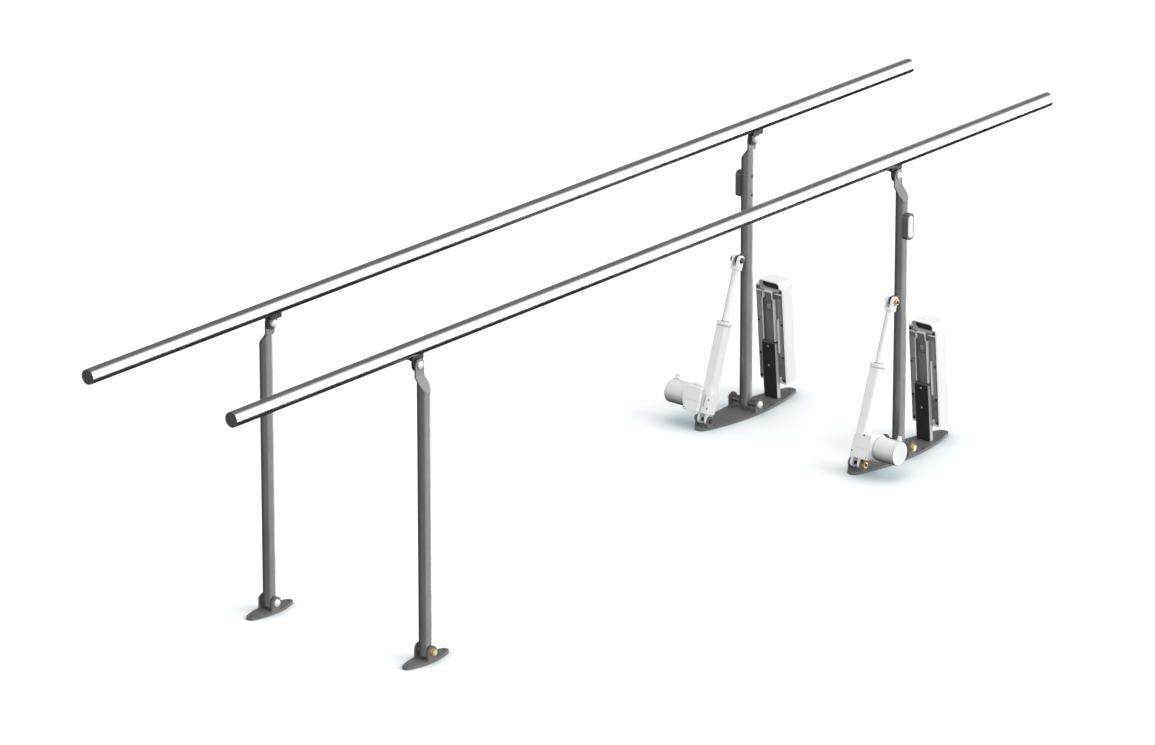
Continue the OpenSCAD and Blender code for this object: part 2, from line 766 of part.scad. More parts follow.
gear_main_w = 40;
wheel_r = 17.5;
chamber_r = wheel_r + 2;
module gearbox() {
    color("whitesmoke") act_frame() difference() {
        union() {
            for (s = [-1, 1]) {
                y0 = s > 0 ? gear_lug_gap / 2 : -gear_lug_out;
                xz_plate(y0, y0 + gear_lug_out - gear_lug_gap / 2) {
                    circle(r = gear_lug_r);
                    translate([-gear_lug_r, 0]) square([2 * gear_lug_r, gear_z0 + 1]);
                }
            }
            translate([0, 0, gear_z0]) linear_extrude(socket_top - gear_z0) round_rect(tube_w + 3, gear_main_w, 6);
            translate([0, (gear_y0 + gear_y1) / 2, gear_z0]) linear_extrude(gear_top - gear_z0)
                round_rect(2 * gear_half, gear_y1 - gear_y0, 5);
            translate([0, 0, motor_z]) y_bar(flange_r, gear_y1 - 2, motor_y0);
        }
        translate([0, 0, bearing_z]) cylinder(r = bearing_d / 2 + fit, h = socket_top);
        translate([0, 0, bearing_z + bearing_h]) cylinder(r = chamber_r, h = socket_top - bearing_z - bearing_h - tube_seat);
        translate([0, 0, socket_top - tube_seat]) linear_extrude(gear_top) round_rect(tube_w + 2 * fit, tube_w + 2 * fit, tube_r);
        translate([0, 0, motor_z]) {
            y_bar(shaft_r + fit, 0, motor_y0 + 1);
            y_bar(chamber_y_r, 0, gear_y0 + 10);
        }
        y_bar(bore_r, -gear_lug_w, gear_lug_w);
        translate([-gear_half - 1, gear_y0 + 6, gear_z0 + 16]) rotate([0, 90, 0]) cylinder(r = 2.5, h = 5);
    }
}
tube_seat = 8;
shaft_r = 5;
chamber_y_r = 11;

module motor() {
    color("whitesmoke") act_frame() {
        difference() {
            union() {
                translate([0, 0, motor_z]) y_bar(motor_d / 2, motor_y0, motor_y1 - 1.5);
                translate([0, 0, motor_z]) y_bar(motor_d / 2 - 1.5, motor_y0, motor_y1);
                translate([0, motor_y1 - inlet_d, motor_z]) {
                    cylinder(d = inlet_d, h = motor_d / 2 + inlet_h);
                    cylinder(d = inlet_d + 4, h = motor_d / 2 + 3);
                }
            }
            translate([0, 0, motor_z]) y_bar(motor_d / 2 - motor_wall, motor_y0 + motor_wall, motor_y1 - motor_wall);
            translate([0, 0, motor_z]) y_bar(shaft_r + fit, motor_y0 - 1, motor_y0 + motor_wall + 1);
            translate([0, motor_y1 - inlet_d, motor_z + motor_d / 2 - motor_wall - 1])
                cylinder(d = inlet_d - 6, h = inlet_h);
        }
    }
}

// Motor shaft with its armature and the bevel pinion
module drive_pinion() {
    color("silver") act_frame() translate([0, 0, motor_z]) {
        y_bar(shaft_r, 17, motor_y1 - motor_wall - 1);
        y_bar(motor_d / 2 - motor_wall - 5, motor_y0 + 10, motor_y1 - 14);
        translate([0, 10.7, 0]) rotate([-90, 0, 0]) cylinder(r1 = 5.1, r2 = 8.6, h = 7.2);
    }
}

module spindle_bearing() {
    color("silver") act_frame() translate([0, 0, bearing_z]) difference() {
        cylinder(d = bearing_d, h = bearing_h);
        translate([0, 0, -1]) cylinder(r = journal_r + fit, h = bearing_h + 2);
    }
}
journal_r = 5;

// Spindle with its bevel wheel; the wheel's cone meets the pinion's at the crossing of the axes
module spindle() {
    color("silver") act_frame() {
        translate([0, 0, bearing_z + 0.5]) cylinder(r = journal_r, h = bearing_h + 2);
        translate([0, 0, bearing_z + bearing_h + side_gap]) cylinder(d = spindle_d, h = spindle_top - bearing_z - bearing_h - side_gap);
        translate([0, 0, bevel_z - 8.9]) cylinder(r1 = wheel_r, r2 = 10.4, h = 3.4);
        translate([0, 0, bearing_z + bearing_h + side_gap]) cylinder(r = 9, h = bevel_z - 8.9 - bearing_z - bearing_h - side_gap);
    }
}

module actuator_tube() {
    z0 = socket_top - tube_seat;
    color("whitesmoke") act_frame() translate([0, 0, z0]) difference() {
        linear_extrude(tube_top - z0) round_rect(tube_w, tube_w, tube_r);
        translate([0, 0, -1]) cylinder(d = tube_bore, h = tube_top - z0 + 2);
    }
}

// Collar with a groove below it and a plug that guides the piston rod
module tube_collar() {
    groove = 3.5;
    color("whitesmoke") act_frame() translate([0, 0, tube_top]) difference() {
        union() {
            translate([0, 0, -collar_plug]) cylinder(d = tube_bore - 2 * fit, h = collar_plug + 1);
            linear_extrude(groove) round_rect(tube_w - 3, tube_w - 3, tube_r - 1);
            translate([0, 0, groove - eps]) linear_extrude(collar_h - groove - 1.5 + eps)
                round_rect(tube_w + 2 * collar_step, tube_w + 2 * collar_step, tube_r + collar_step);
            translate([0, 0, collar_h - 1.5 - eps]) linear_extrude(1.5 + eps)
                round_rect(tube_w + 2 * collar_step - 3, tube_w + 2 * collar_step - 3, tube_r + collar_step - 1.5);
        }
        translate([0, 0, -collar_plug - 1]) cylinder(r = rod_d / 2 + fit, h = collar_plug + collar_h + 2);
    }
}

// Hollow rod with the spindle nut at its lower end
module piston_rod() {
    color("white") act_frame() difference() {
        union() {
            translate([0, 0, nut_z]) cylinder(d = rod_d, h = fork_z0 + 4 - nut_z);
            translate([0, 0, nut_z]) cylinder(d = tube_bore - 0.6, h = nut_len);
        }
        translate([0, 0, nut_z - 1]) cylinder(d = rod_bore, h = fork_z0 - 24 - nut_z);
    }
}

module rod_fork() {
    cheek_top = act_len - fork_z0;
    half = fork_w / 2;
    color("white") act_frame() translate([0, 0, fork_z0]) difference() {
        intersection() {
            xz_plate(-half, half) {
                translate([0, cheek_top]) circle(r = half);
                translate([-half, 3]) square([fork_w, cheek_top - 3]);
                translate([-half + 2, 0]) square([fork_w - 4, 4]);
            }
            linear_extrude(2 * cheek_top) round_rect(fork_w, fork_w, 5);
        }
        translate([0, 0, -1]) cylinder(r = rod_d / 2 + fit, h = 5);
        translate([-fork_w, -fork_slot_w / 2, fork_base]) cube([2 * fork_w, fork_slot_w, 3 * fork_w]);
        translate([0, 0, cheek_top]) y_bar(bore_r, -fork_w, fork_w);
    }
}

module rod_pin() {
    half = fork_w / 2;
    act_frame() translate([0, 0, act_len]) {
        color([0.15, 0.15, 0.16]) y_bar(bolt_r, -half, half + nut_h + 2);
        color([0.15, 0.15, 0.16]) y_bar(head_d / 2, -half - head_h, -half);
        color("goldenrod") pivot_nut(half);
    }
}

// Control box, in a frame on the foot of its back plate, X outwards and Z up its back

module box_frame() {
    translate([box_x, 0, box_z]) rotate([0, -box_lean, 0]) children();
}

function box_screw_z() = [for (f = [0.024, 0.27, 0.625, 0.975]) f * box_h];
box_screw_y = box_w / 2 - 5;
board_x = back_t + 8;
board_w = box_w * 0.66;
board_h = box_h * 0.65;

module box_back() {
    color([0.45, 0.45, 0.46]) box_frame() difference() {
        union() {
            translate([0, -box_w / 2, 0]) cube([back_t, box_w, box_h]);
            rib_z0 = channel_top - box_z + 4;
            rib_z1 = box_h - grip_low - 1;
            for (s = [-1, 1]) translate([-rib_h + 0.2, s * rib_pitch / 2 - rib_t / 2, rib_z0])
                cube([rib_h, rib_t, rib_z1 - rib_z0]);
            translate([-rib_h + 0.2, -rib_pitch / 2, rib_z1 - rib_t]) cube([rib_h, rib_pitch, rib_t]);
            for (z = channel_screw_z()) translate([-channel_gap + side_gap, 0, z]) rotate([0, 90, 0])
                cylinder(r = 7, h = channel_gap + 1);
            for (y = [-1, 1], z = [-1, 1])
                translate([back_t - 1, y * (board_w / 2 - 5), box_h / 2 + z * (board_h / 2 - 8)]) rotate([0, 90, 0])
                    cylinder(r = 4, h = board_x - back_t + 1);
        }
        for (s = [-1, 1], z = box_screw_z()) translate([-1, s * box_screw_y, z]) rotate([0, 90, 0])
            cylinder(r = screw_r + fit, h = back_t + 2);
        for (z = channel_screw_z()) translate([-channel_gap - 1, 0, z]) rotate([0, 90, 0])
            cylinder(r = screw_r + fit, h = channel_gap);
        translate([-1, -grip_w / 2 - side_gap, box_h - grip_low]) cube([back_t + 2, grip_w + 2 * side_gap, 2 * grip_low]);
        translate([-1, 0, latch_z]) rotate([0, 90, 0]) rotate(25) cylinder(r = 4 + fit, h = back_t + 2);
    }
}
latch_z = box_h * 0.8;

module box_cover() {
    sill = box_h - grip_low;
    color("white") box_frame() difference() {
        cover_body(0);
        difference() {
            cover_body(cover_wall);
            translate([-1, -box_w, box_h - 0.1]) cube([back_t + 1, 2 * box_w, 2 * head_rise]);
            translate([-1, -grip_w / 2 - cover_wall, sill - cover_wall])
                cube([grip_depth + 1 + cover_wall, grip_w + 2 * cover_wall, 2 * head_rise]);
            translate([-1, -box_w, -10]) cube([back_t + 1, 2 * box_w, 9.8]);
            for (s = [-1, 1], z = box_screw_z()) translate([back_t, s * (box_screw_y), z]) rotate([0, 90, 0])
                cylinder(r = 4.5, h = 12);
        }
        translate([-1, -box_w / 2 - fit, -0.2]) cube([back_t + 1, box_w + 2 * fit, box_h + 0.4]);
        translate([-1, 0, 0]) hood(cover_wall, sill, grip_depth + 1);
        for (s = [-1, 1], z = box_screw_z()) translate([0, s * box_screw_y, z]) rotate([0, 90, 0])
            cylinder(r = screw_r + fit, h = back_t + 8);
        for (i = [-1, 0, 1]) translate([socket_x, i * socket_pitch, -7]) cylinder(r = socket_r + fit, h = 10);
    }
}

// Outer form of the cover, or its hollow, a wall thickness inside
module cover_body(wall) {
    depth = box_depth - wall;
    intersection() {
        translate([0, 0, -6 + wall]) linear_extrude(box_h + 2 * head_rise)
            cover_section(box_w + 2 - 2 * wall, depth, cover_r - wall, wall > 0 ? -1 : 0);
        union() {
            xz_plate(-box_w, box_w) cover_profile(depth, box_h + lid_rise - wall);
            translate([wall > 0 ? -1 : 0, 0, 0]) hood(wall, box_h - 2 * grip_low, 2 * box_depth);
        }
    }
}

// Raised hood over the finger slot, highest at the back
module hood(wall, low, length) {
    top = box_h + head_rise - wall - 0.3;
    intersection() {
        rotate([90, 0, 90]) linear_extrude(length) hood_arch(wall, low);
        xz_plate(-box_w, box_w)
            polygon([[-2, low - 1], [box_depth + 2, low - 1], [box_depth + 2, top - hood_fall * box_depth], [-2, top]]);
    }
}

// Outline of the hood in Y and Z
module hood_arch(wall, low) {
    half = grip_w / 2 + cover_wall - wall;
    r = hood_r - wall;
    top = box_h + head_rise - wall;
    translate([-half, low]) square([2 * half, top - r - low]);
    translate([r - half, low]) square([2 * (half - r), top - low]);
    for (s = [-1, 1]) translate([s * (half - r), top - r]) circle(r = r);
}
hood_fall = 0.12;
socket_x = 30;
socket_r = 7;
socket_pitch = 22;

// Plan section of the cover: flat at the back, round at its front edges
module cover_section(w, depth, r, back) {
    translate([back, -w / 2]) square([depth - r - back, w]);
    translate([depth - r, 0]) square([2 * r, w - 2 * r], center = true);
    for (s = [-1, 1]) translate([depth - r, s * (w / 2 - r)]) circle(r = r);
}

// Side profile of the cover in X and Z, with a round lower front edge
module cover_profile(depth, top) {
    low_r = 26;
    top_r = 6;
    translate([-1, -6]) square([depth - low_r + 1, top + 6]);
    translate([-1, low_r - 6]) square([depth + 1, top + 6 - low_r - top_r]);
    translate([-1, top - 2 * top_r]) square([depth - top_r + 1, 2 * top_r]);
    translate([depth - low_r, low_r - 6]) circle(r = low_r);
    translate([depth - top_r, top - top_r]) circle(r = top_r);
}

// Circuit board with its transformer and relays
module control_boards() {
    color("darkgreen") both_sides() rear() box_frame() {
        translate([board_x, -board_w / 2, box_h / 2 - board_h / 2]) cube([1.6, board_w, board_h]);
        translate([board_x + 1.5, -board_w * 0.35, box_h / 2 - board_h * 0.42])
            cube([box_depth * 0.42, board_w * 0.7, board_h * 0.26]);
        for (k = [0, 1, 2]) translate([board_x + 1.5, (0.05 * k - 0.32) * board_w, box_h / 2 + 0.14 * k * board_h])
            cube([box_depth * 0.21, board_w * 0.48, board_h * 0.085]);
    }
}

// Sliding catch between the ribs
module box_latches() {
    color("lightgray") both_sides() rear() box_frame() {
        translate([-3, -7, latch_z - 8]) cube([3, 14, 16]);
        translate([-1, 0, latch_z]) rotate([0, 90, 0]) cylinder(r = 4, h = back_t + 1);
    }
}

// Blanking plugs in the sockets at the foot of the box
module socket_plugs() {
    color("lightgray") both_sides() rear() box_frame() for (i = [-1, 0, 1]) translate([socket_x, i * socket_pitch, 0]) {
        translate([0, 0, -9]) cylinder(r = socket_r + 1.5, h = 3);
        translate([0, 0, -7]) cylinder(r = socket_r, h = 9);
    }
}

// Screws that close the box, and those that hold it to its bracket
module box_screws() {
    color("darkgray") both_sides() rear() box_frame() {
        for (s = [-1, 1], z = box_screw_z()) translate([0, s * box_screw_y, z]) rotate([0, 90, 0]) {
            translate([0, 0, -1.6]) cylinder(r = screw_r + 1.5, h = 1.6);
            translate([0, 0, -1]) cylinder(r = screw_r, h = back_t + 8);
        }
        for (z = channel_screw_z()) translate([-channel_gap - channel_t, 0, z]) rotate([0, 90, 0]) {
            translate([0, 0, -2.2]) cylinder(r = screw_r + 1.8, h = 2.2);
            translate([0, 0, -1]) cylinder(r = screw_r, h = channel_gap + channel_t - 0.2);
        }
    }
}

on_left() rear() rear_base_plate();  // left_rear_base_plate
on_right() rear() rear_base_plate();  // right_rear_base_plate
on_left() front() front_base_plate();  // left_front_base_plate
on_right() front() front_base_plate();  // right_front_base_plate
on_left() rear() box_back();  // left_box_back
on_right() rear() box_back();  // right_box_back
on_left() rear() box_cover();  // left_box_cover
on_right() rear() box_cover();  // right_box_cover
control_boards();
box_latches();
socket_plugs();
box_screws();
foot_pivot_bolts();
pivot_nuts();
foot_pivot_caps();
actuator_base_pins();
on_left() rear() rear_post();  // left_rear_post
on_right() rear() rear_post();  // right_rear_post
on_left() rear() rear_bushes();  // left_rear_bushes
on_right() rear() rear_bushes();  // right_rear_bushes
on_left() rear() switch_housing();  // left_switch_housing
on_right() rear() switch_housing();  // right_switch_housing
on_left() rear() switch_screws();  // left_switch_screws
on_right() rear() switch_screws();  // right_switch_screws
on_left() rear() switch_rocker();  // left_switch_rocker
on_right() rear() switch_rocker();  // right_switch_rocker
on_left() front() front_post();  // left_front_post
on_right() front() front_post();  // right_front_post
on_left() front() front_bushes();  // left_front_bushes
on_right() front() front_bushes();  // right_front_bushes
on_left() rail();  // left_rail
on_right() rail();  // right_rail
on_left() rail_end_caps();  // left_rail_end_caps
on_right() rail_end_caps();  // right_rail_end_caps
on_left() rail_brackets();  // left_rail_brackets
on_right() rail_brackets();  // right_rail_brackets
on_left() rail_fasteners();  // left_rail_fasteners
on_right() rail_fasteners();  // right_rail_fasteners
on_left() rail_pivot_caps();  // left_rail_pivot_caps
on_right() rail_pivot_caps();  // right_rail_pivot_caps
on_left() gearbox();  // left_gearbox
on_right() gearbox();  // right_gearbox
on_left() motor();  // left_motor
on_right() motor();  // right_motor
on_left() drive_pinion();  // left_drive_pinion
on_right() drive_pinion();  // right_drive_pinion
on_left() spindle_bearing();  // left_spindle_bearing
on_right() spindle_bearing();  // right_spindle_bearing
on_left() spindle();  // left_spindle
on_right() spindle();  // right_spindle
on_left() actuator_tube();  // left_actuator_tube
on_right() actuator_tube();  // right_actuator_tube
on_left() tube_collar();  // left_tube_collar
on_right() tube_collar();  // right_tube_collar
on_left() piston_rod();  // left_piston_rod
on_right() piston_rod();  // right_piston_rod
on_left() rod_fork();  // left_rod_fork
on_right() rod_fork();  // right_rod_fork
on_left() rod_pin();  // left_rod_pin
on_right() rod_pin();  // right_rod_pin
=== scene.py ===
"""Looks of the height-adjustable walking parallel bars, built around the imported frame.

Metres, +X along the rails towards the driven posts, +Y to the left side, +Z up.
"""

import math

import bmesh
import bpy
from mathutils import Matrix, Vector


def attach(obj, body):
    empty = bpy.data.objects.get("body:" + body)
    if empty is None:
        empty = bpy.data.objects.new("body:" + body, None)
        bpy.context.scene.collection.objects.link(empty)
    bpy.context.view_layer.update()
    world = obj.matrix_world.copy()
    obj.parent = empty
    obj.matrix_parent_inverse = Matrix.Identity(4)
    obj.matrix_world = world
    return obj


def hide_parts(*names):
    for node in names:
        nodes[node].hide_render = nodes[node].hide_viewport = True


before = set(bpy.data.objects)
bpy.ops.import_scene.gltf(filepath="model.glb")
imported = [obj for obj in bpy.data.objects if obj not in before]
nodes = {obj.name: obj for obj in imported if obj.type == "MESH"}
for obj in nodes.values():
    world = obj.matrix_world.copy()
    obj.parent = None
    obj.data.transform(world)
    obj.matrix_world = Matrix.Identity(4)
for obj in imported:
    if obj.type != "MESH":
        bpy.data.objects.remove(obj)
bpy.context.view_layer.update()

SIDES = (("left", 1), ("right", -1))
POST_X, POST_Y = 1.030, 0.279                       # feet of the rear posts; the front ones mirror them in X
BOX_X, BOX_Z, BOX_LEAN = 0.128, 0.060, math.radians(4.9)
ACT_X, ACT_Z, ACT_LEAN = -0.190, 0.026, math.atan2(0.149, 0.447)
PLATE_TOP = 0.008
TUBE_R = 0.018


# ---------------------------------------------------------------- frames

def side_frame(sign):
    """Frame of one side: its Y runs outward from the post's centre plane."""
    return Matrix(((1, 0, 0, 0), (0, sign, 0, sign * POST_Y), (0, 0, 1, 0), (0, 0, 0, 1)))


def rear_frame(sign):
    """Frame of a rear post's foot, on the floor."""
    return side_frame(sign) @ Matrix.Translation((POST_X, 0, 0))


def front_frame(sign):
    """Frame of a front post's foot, on the floor."""
    return side_frame(sign) @ Matrix.Translation((-POST_X, 0, 0))


def box_frame(sign):
    """Frame of a control box: X into the box from its back plate, Z up the box."""
    return rear_frame(sign) @ Matrix.Translation((BOX_X, 0, BOX_Z)) @ Matrix.Rotation(-BOX_LEAN, 4, "Y")


def actuator_frame(sign):
    """Frame of an actuator at its base pivot: Z along the rod, Y along the motor."""
    return rear_frame(sign) @ Matrix.Translation((ACT_X, 0, ACT_Z)) @ Matrix.Rotation(ACT_LEAN, 4, "Y")


# ---------------------------------------------------------------- materials

class Tree:
    """A material's node tree with short helpers."""

    def __init__(self, name):
        self.mat = bpy.data.materials.new(name)
        self.mat.use_nodes = True
        self.nodes = self.mat.node_tree.nodes
        self.links = self.mat.node_tree.links
        self.nodes.clear()
        self.out = self.nodes.new("ShaderNodeOutputMaterial")

    def new(self, kind, **sockets):
        node = self.nodes.new(kind)
        for key, value in sockets.items():
            node.inputs[key.replace("_", " ")].default_value = value
        return node

    def join(self, a, b):
        self.links.new(a, b)

    def coords(self, stretch=(1, 1, 1)):
        tex = self.new("ShaderNodeTexCoord")
        mapping = self.new("ShaderNodeMapping", Scale=stretch)
        self.join(tex.outputs["Object"], mapping.inputs["Vector"])
        return mapping.outputs["Vector"]

    def noise(self, scale, detail=3.0, stretch=(1, 1, 1), roughness=0.5):
        tex = self.new("ShaderNodeTexNoise", Scale=scale, Detail=detail, Roughness=roughness)
        self.join(self.coords(stretch), tex.inputs["Vector"])
        return tex.outputs["Fac"]

    def spread(self, source, low, high, lo_in=0.3, hi_in=0.7):
        """Maps lo_in..hi_in of source to low..high, and holds it there beyond them."""
        node = self.new("ShaderNodeMapRange")
        for i, value in enumerate((lo_in, hi_in, low, high)):
            node.inputs[i + 1].default_value = value
        self.join(source, node.inputs[0])
        return node.outputs[0]

    def times(self, a, b):
        node = self.nodes.new("ShaderNodeMath")
        node.operation = "MULTIPLY"
        self.join(a, node.inputs[0])
        self.join(b, node.inputs[1])
        return node.outputs[0]

    def blend(self, fac, a, b):
        """Mixes two colours (tuples or sockets) by fac."""
        node = self.nodes.new("ShaderNodeMix")
        node.data_type = "RGBA"
        self.join(fac, node.inputs[0])
        for socket, value in ((node.inputs[6], a), (node.inputs[7], b)):
            if isinstance(value, tuple):
                socket.default_value = (*value, 1)
            else:
                self.join(value, socket)
        return node.outputs[2]


GRAIN_DEPTH = 0.0006
HOLLOW_REACH = 0.22
DUST_HEIGHTS = (0.004, 0.045)                       # thickest up to the first, none above the second
DUST_COLOR = (0.36, 0.35, 0.33)


def tint(color, k):
    return tuple(min(1.0, c * k) for c in color)


def finish(name, color, rough, metal=0.0, vary=0.06, patch=9.0, grain=700.0, stretch=(1, 1, 1),
           bump=0.05, rough_vary=0.06, edge=0.0006, wear=0.0, wear_color=(0.6, 0.6, 0.6),
           dust=0.0, painted_shade=0.0):
    """A surface with patchy colour, fine grain, rounded edges and wear where edges rub.

    dust lies on what is close to the floor, and the last argument paints shade: the colour darkens where
    nearby parts or the floor shut out light.
    """
    t = Tree(name)
    bsdf = t.new("ShaderNodeBsdfPrincipled", Metallic=metal)
    patches = t.noise(patch, 4.0)
    shade = t.blend(t.spread(patches, 0, 1), tint(color, 1 - vary), tint(color, 1 + vary))
    fine = t.noise(grain, 2.0, stretch)
    if dust:
        tex = t.new("ShaderNodeTexCoord")
        split = t.new("ShaderNodeSeparateXYZ")
        t.join(tex.outputs["Object"], split.inputs[0])
        low = t.spread(split.outputs[2], dust, 0.0, *DUST_HEIGHTS)
        specks = t.spread(t.noise(46.0, 5.0), 0.2, 1.0)
        shade = t.blend(t.times(low, specks), shade, DUST_COLOR)
    # Painted shade: ambient occlusion darkens the colour where nearby parts or the floor are close.
    if painted_shade:
        hollow = t.new("ShaderNodeAmbientOcclusion", Distance=HOLLOW_REACH)
        hollow.samples = 8
        depth = t.spread(hollow.outputs["AO"], painted_shade, 0.0, 0.28, 0.90)
        shade = t.blend(depth, shade, tint(color, 0.10))
    round_edge = None
    if edge:
        round_edge = t.new("ShaderNodeBevel", Radius=edge)
        round_edge.samples = 4
    if wear and round_edge:
        geo = t.new("ShaderNodeNewGeometry")
        dot = t.nodes.new("ShaderNodeVectorMath")
        dot.operation = "DOT_PRODUCT"
        t.join(round_edge.outputs[0], dot.inputs[0])
        t.join(geo.outputs["Normal"], dot.inputs[1])
        worn = t.spread(dot.outputs["Value"], wear, 0.0, 0.90, 0.995)
        rubs = t.spread(t.noise(90.0, 4.0), 0.0, 1.0, 0.42, 0.62)
        shade = t.blend(t.times(worn, rubs), shade, wear_color)
    t.join(shade, bsdf.inputs["Base Color"])
    gloss = t.spread(t.noise(patch * 2.3, 5.0), rough - rough_vary, rough + rough_vary)
    t.join(gloss, bsdf.inputs["Roughness"])
    relief = t.new("ShaderNodeBump", Strength=bump, Distance=GRAIN_DEPTH)
    t.join(fine, relief.inputs["Height"])
    if round_edge:
        t.join(round_edge.outputs[0], relief.inputs["Normal"])
    t.join(relief.outputs[0], bsdf.inputs["Normal"])
    t.join(bsdf.outputs[0], t.out.inputs[0])
    return t.mat


COAT = finish("grey_powder_coat", (0.225, 0.224, 0.223), 0.40, metal=0.75, vary=0.05, grain=1500, bump=0.10,
              wear=0.35, wear_color=(0.34, 0.34, 0.35), rough_vary=0.05)
PLATE = finish("floor_plate_coat", (0.150, 0.148, 0.146), 0.55, metal=0.25, vary=0.10, grain=1300, bump=0.14,
               wear=0.4, wear_color=(0.25, 0.25, 0.25), dust=0.25)
BLACK = finish("black_bracket_coat", (0.020, 0.020, 0.022), 0.42, metal=0.1, vary=0.15, grain=1500, bump=0.10,
               wear=0.3, wear_color=(0.12, 0.12, 0.12))
RAIL = finish("polished_rail_steel", (0.93, 0.935, 0.94), 0.27, metal=1.0, vary=0.015, patch=5, grain=2600,
              stretch=(0.02, 1, 1), bump=0.015, rough_vary=0.025, edge=0.0005)
CAP = finish("end_cap_plastic", (0.062, 0.062, 0.064), 0.55, vary=0.08, grain=1800, bump=0.12)
ZINC = finish("zinc_plated_steel", (0.66, 0.67, 0.69), 0.30, metal=1.0, vary=0.08, patch=60, grain=900,
              bump=0.04)
YELLOW = finish("yellow_zinc_steel", (0.80, 0.58, 0.22), 0.32, metal=0.9, vary=0.16, patch=120, grain=900,
                bump=0.05)
DARK = finish("blackened_steel", (0.045, 0.045, 0.05), 0.38, metal=0.7, vary=0.12, patch=80, grain=900,
              bump=0.05)
WHITE = finish("white_dome_plastic", (0.86, 0.86, 0.85), 0.22, vary=0.02, grain=1500, bump=0.02)
BUSH = finish("bush_plastic", (0.52, 0.38, 0.12), 0.5, vary=0.06, grain=1600, bump=0.06)
HOUSING = finish("switch_housing_plastic", (0.16, 0.16, 0.163), 0.42, metal=0.6, vary=0.06, grain=2200,
                 bump=0.12)
ROCKER = finish("switch_rocker_plastic", (0.88, 0.88, 0.87), 0.25, vary=0.015, grain=1500, bump=0.015)
COVER = finish("cover_moulded_plastic", (0.90, 0.90, 0.895), 0.34, vary=0.012, patch=4, grain=2400, bump=0.05,
               edge=0.0010)
PANEL = finish("side_panel_plastic", (0.300, 0.300, 0.303), 0.45, vary=0.06, patch=14, grain=2000, bump=0.12)
BACK = finish("back_plate_plastic", (0.200, 0.200, 0.203), 0.48, vary=0.07, patch=14, grain=2000, bump=0.16)
# Painted light: white stands in for the lit side faces of the back plate's ribs.
LIT_RIB = finish("rib_painted_light", (0.90, 0.90, 0.90), 0.42, vary=0.04, grain=2000, bump=0.06)
# Painted light: this light grey stands in for the lit outer faces of the bracket's flanges.
LIT_FLANGE = finish("bracket_flange_painted_light", (0.58, 0.58, 0.585), 0.40, metal=0.2, vary=0.06,
                patch=20, grain=1500, bump=0.08)
PAINT = finish("actuator_white_paint", (0.90, 0.90, 0.895), 0.30, vary=0.02, patch=7, grain=1300, bump=0.05,
               edge=0.0010)
# Painted shade: the motor case darkens on its underside and next to the gearbox.
CASE = finish("motor_case_paint", (0.82, 0.82, 0.815), 0.30, vary=0.02, patch=7, grain=1300, bump=0.05,
              edge=0.0010, painted_shade=0.92)
ROD = finish("piston_rod_steel", (0.84, 0.84, 0.85), 0.22, metal=0.15, vary=0.02, grain=2400,
             stretch=(1, 1, 0.05), bump=0.02)
STEEL = finish("machined_steel", (0.52, 0.52, 0.54), 0.28, metal=1.0, vary=0.05, grain=1800, bump=0.05)
BOARD = finish("circuit_board", (0.02, 0.11, 0.045), 0.4, vary=0.15, patch=80, grain=500, bump=0.1)
LATCH = finish("latch_metal", (0.55, 0.55, 0.56), 0.34, metal=0.6, vary=0.05, grain=1500, bump=0.05)
# Painted shade: a near-black for sheets laid where the grip pocket and the bracket's web are dark only from
# shade.
SHADE_SHEET = finish("shade_sheet_black", (0.022, 0.022, 0.023), 0.55, vary=0.1, grain=1800, bump=0.1)
SEAM = finish("housing_seam", (0.42, 0.42, 0.42), 0.5, vary=0.05, grain=1500, bump=0.05)
GASKET = finish("dark_seam_rubber", (0.03, 0.03, 0.032), 0.6, vary=0.1, grain=1500, bump=0.1)

LOOKS = {
    "rear_base_plate": PLATE, "front_base_plate": PLATE, "box_back": BACK, "box_cover": COVER,
    "control_boards": BOARD, "box_latches": LATCH, "socket_plugs": WHITE, "box_screws": DARK,
    "foot_pivot_bolts": ZINC, "pivot_nuts": YELLOW, "foot_pivot_caps": WHITE, "actuator_base_pins": DARK,
    "rear_post": COAT, "front_post": COAT, "rear_bushes": BUSH, "front_bushes": BUSH,
    "switch_housing": HOUSING, "switch_screws": ZINC, "switch_rocker": ROCKER,
    "rail": RAIL, "rail_end_caps": CAP, "rail_brackets": BLACK, "rail_fasteners": ZINC,
    "rail_pivot_caps": WHITE, "gearbox": PAINT, "motor": CASE, "drive_pinion": STEEL,
    "spindle_bearing": STEEL, "spindle": STEEL, "actuator_tube": PAINT, "tube_collar": PAINT,
    "piston_rod": ROD, "rod_fork": PAINT, "rod_pin": DARK,
}
for name, obj in nodes.items():
    base = name.split("_", 1)[1] if name.split("_", 1)[0] in ("left", "right") else name
    obj.data.materials.clear()
    obj.data.materials.append(LOOKS[base])


# ---------------------------------------------------------------- mesh tools

def new_object(name, mesh, material, body):
    """Puts a mesh in the scene as a piece that rides on a body."""
    obj = bpy.data.objects.new(name, mesh)
    bpy.context.scene.collection.objects.link(obj)
    mesh.materials.append(material)
    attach(obj, body)
    return obj


def mesh_from(name, bm, place, smooth=True):
    """Turns bm into a mesh, moved by place, with its faces outward."""
    bmesh.ops.recalc_face_normals(bm, faces=bm.faces)
    bm.transform(place)
    if place.determinant() < 0:
        bmesh.ops.reverse_faces(bm, faces=bm.faces)
    for face in bm.faces:
        face.smooth = smooth
    mesh = bpy.data.meshes.new(name)
    bm.to_mesh(mesh)
    bm.free()
    return mesh


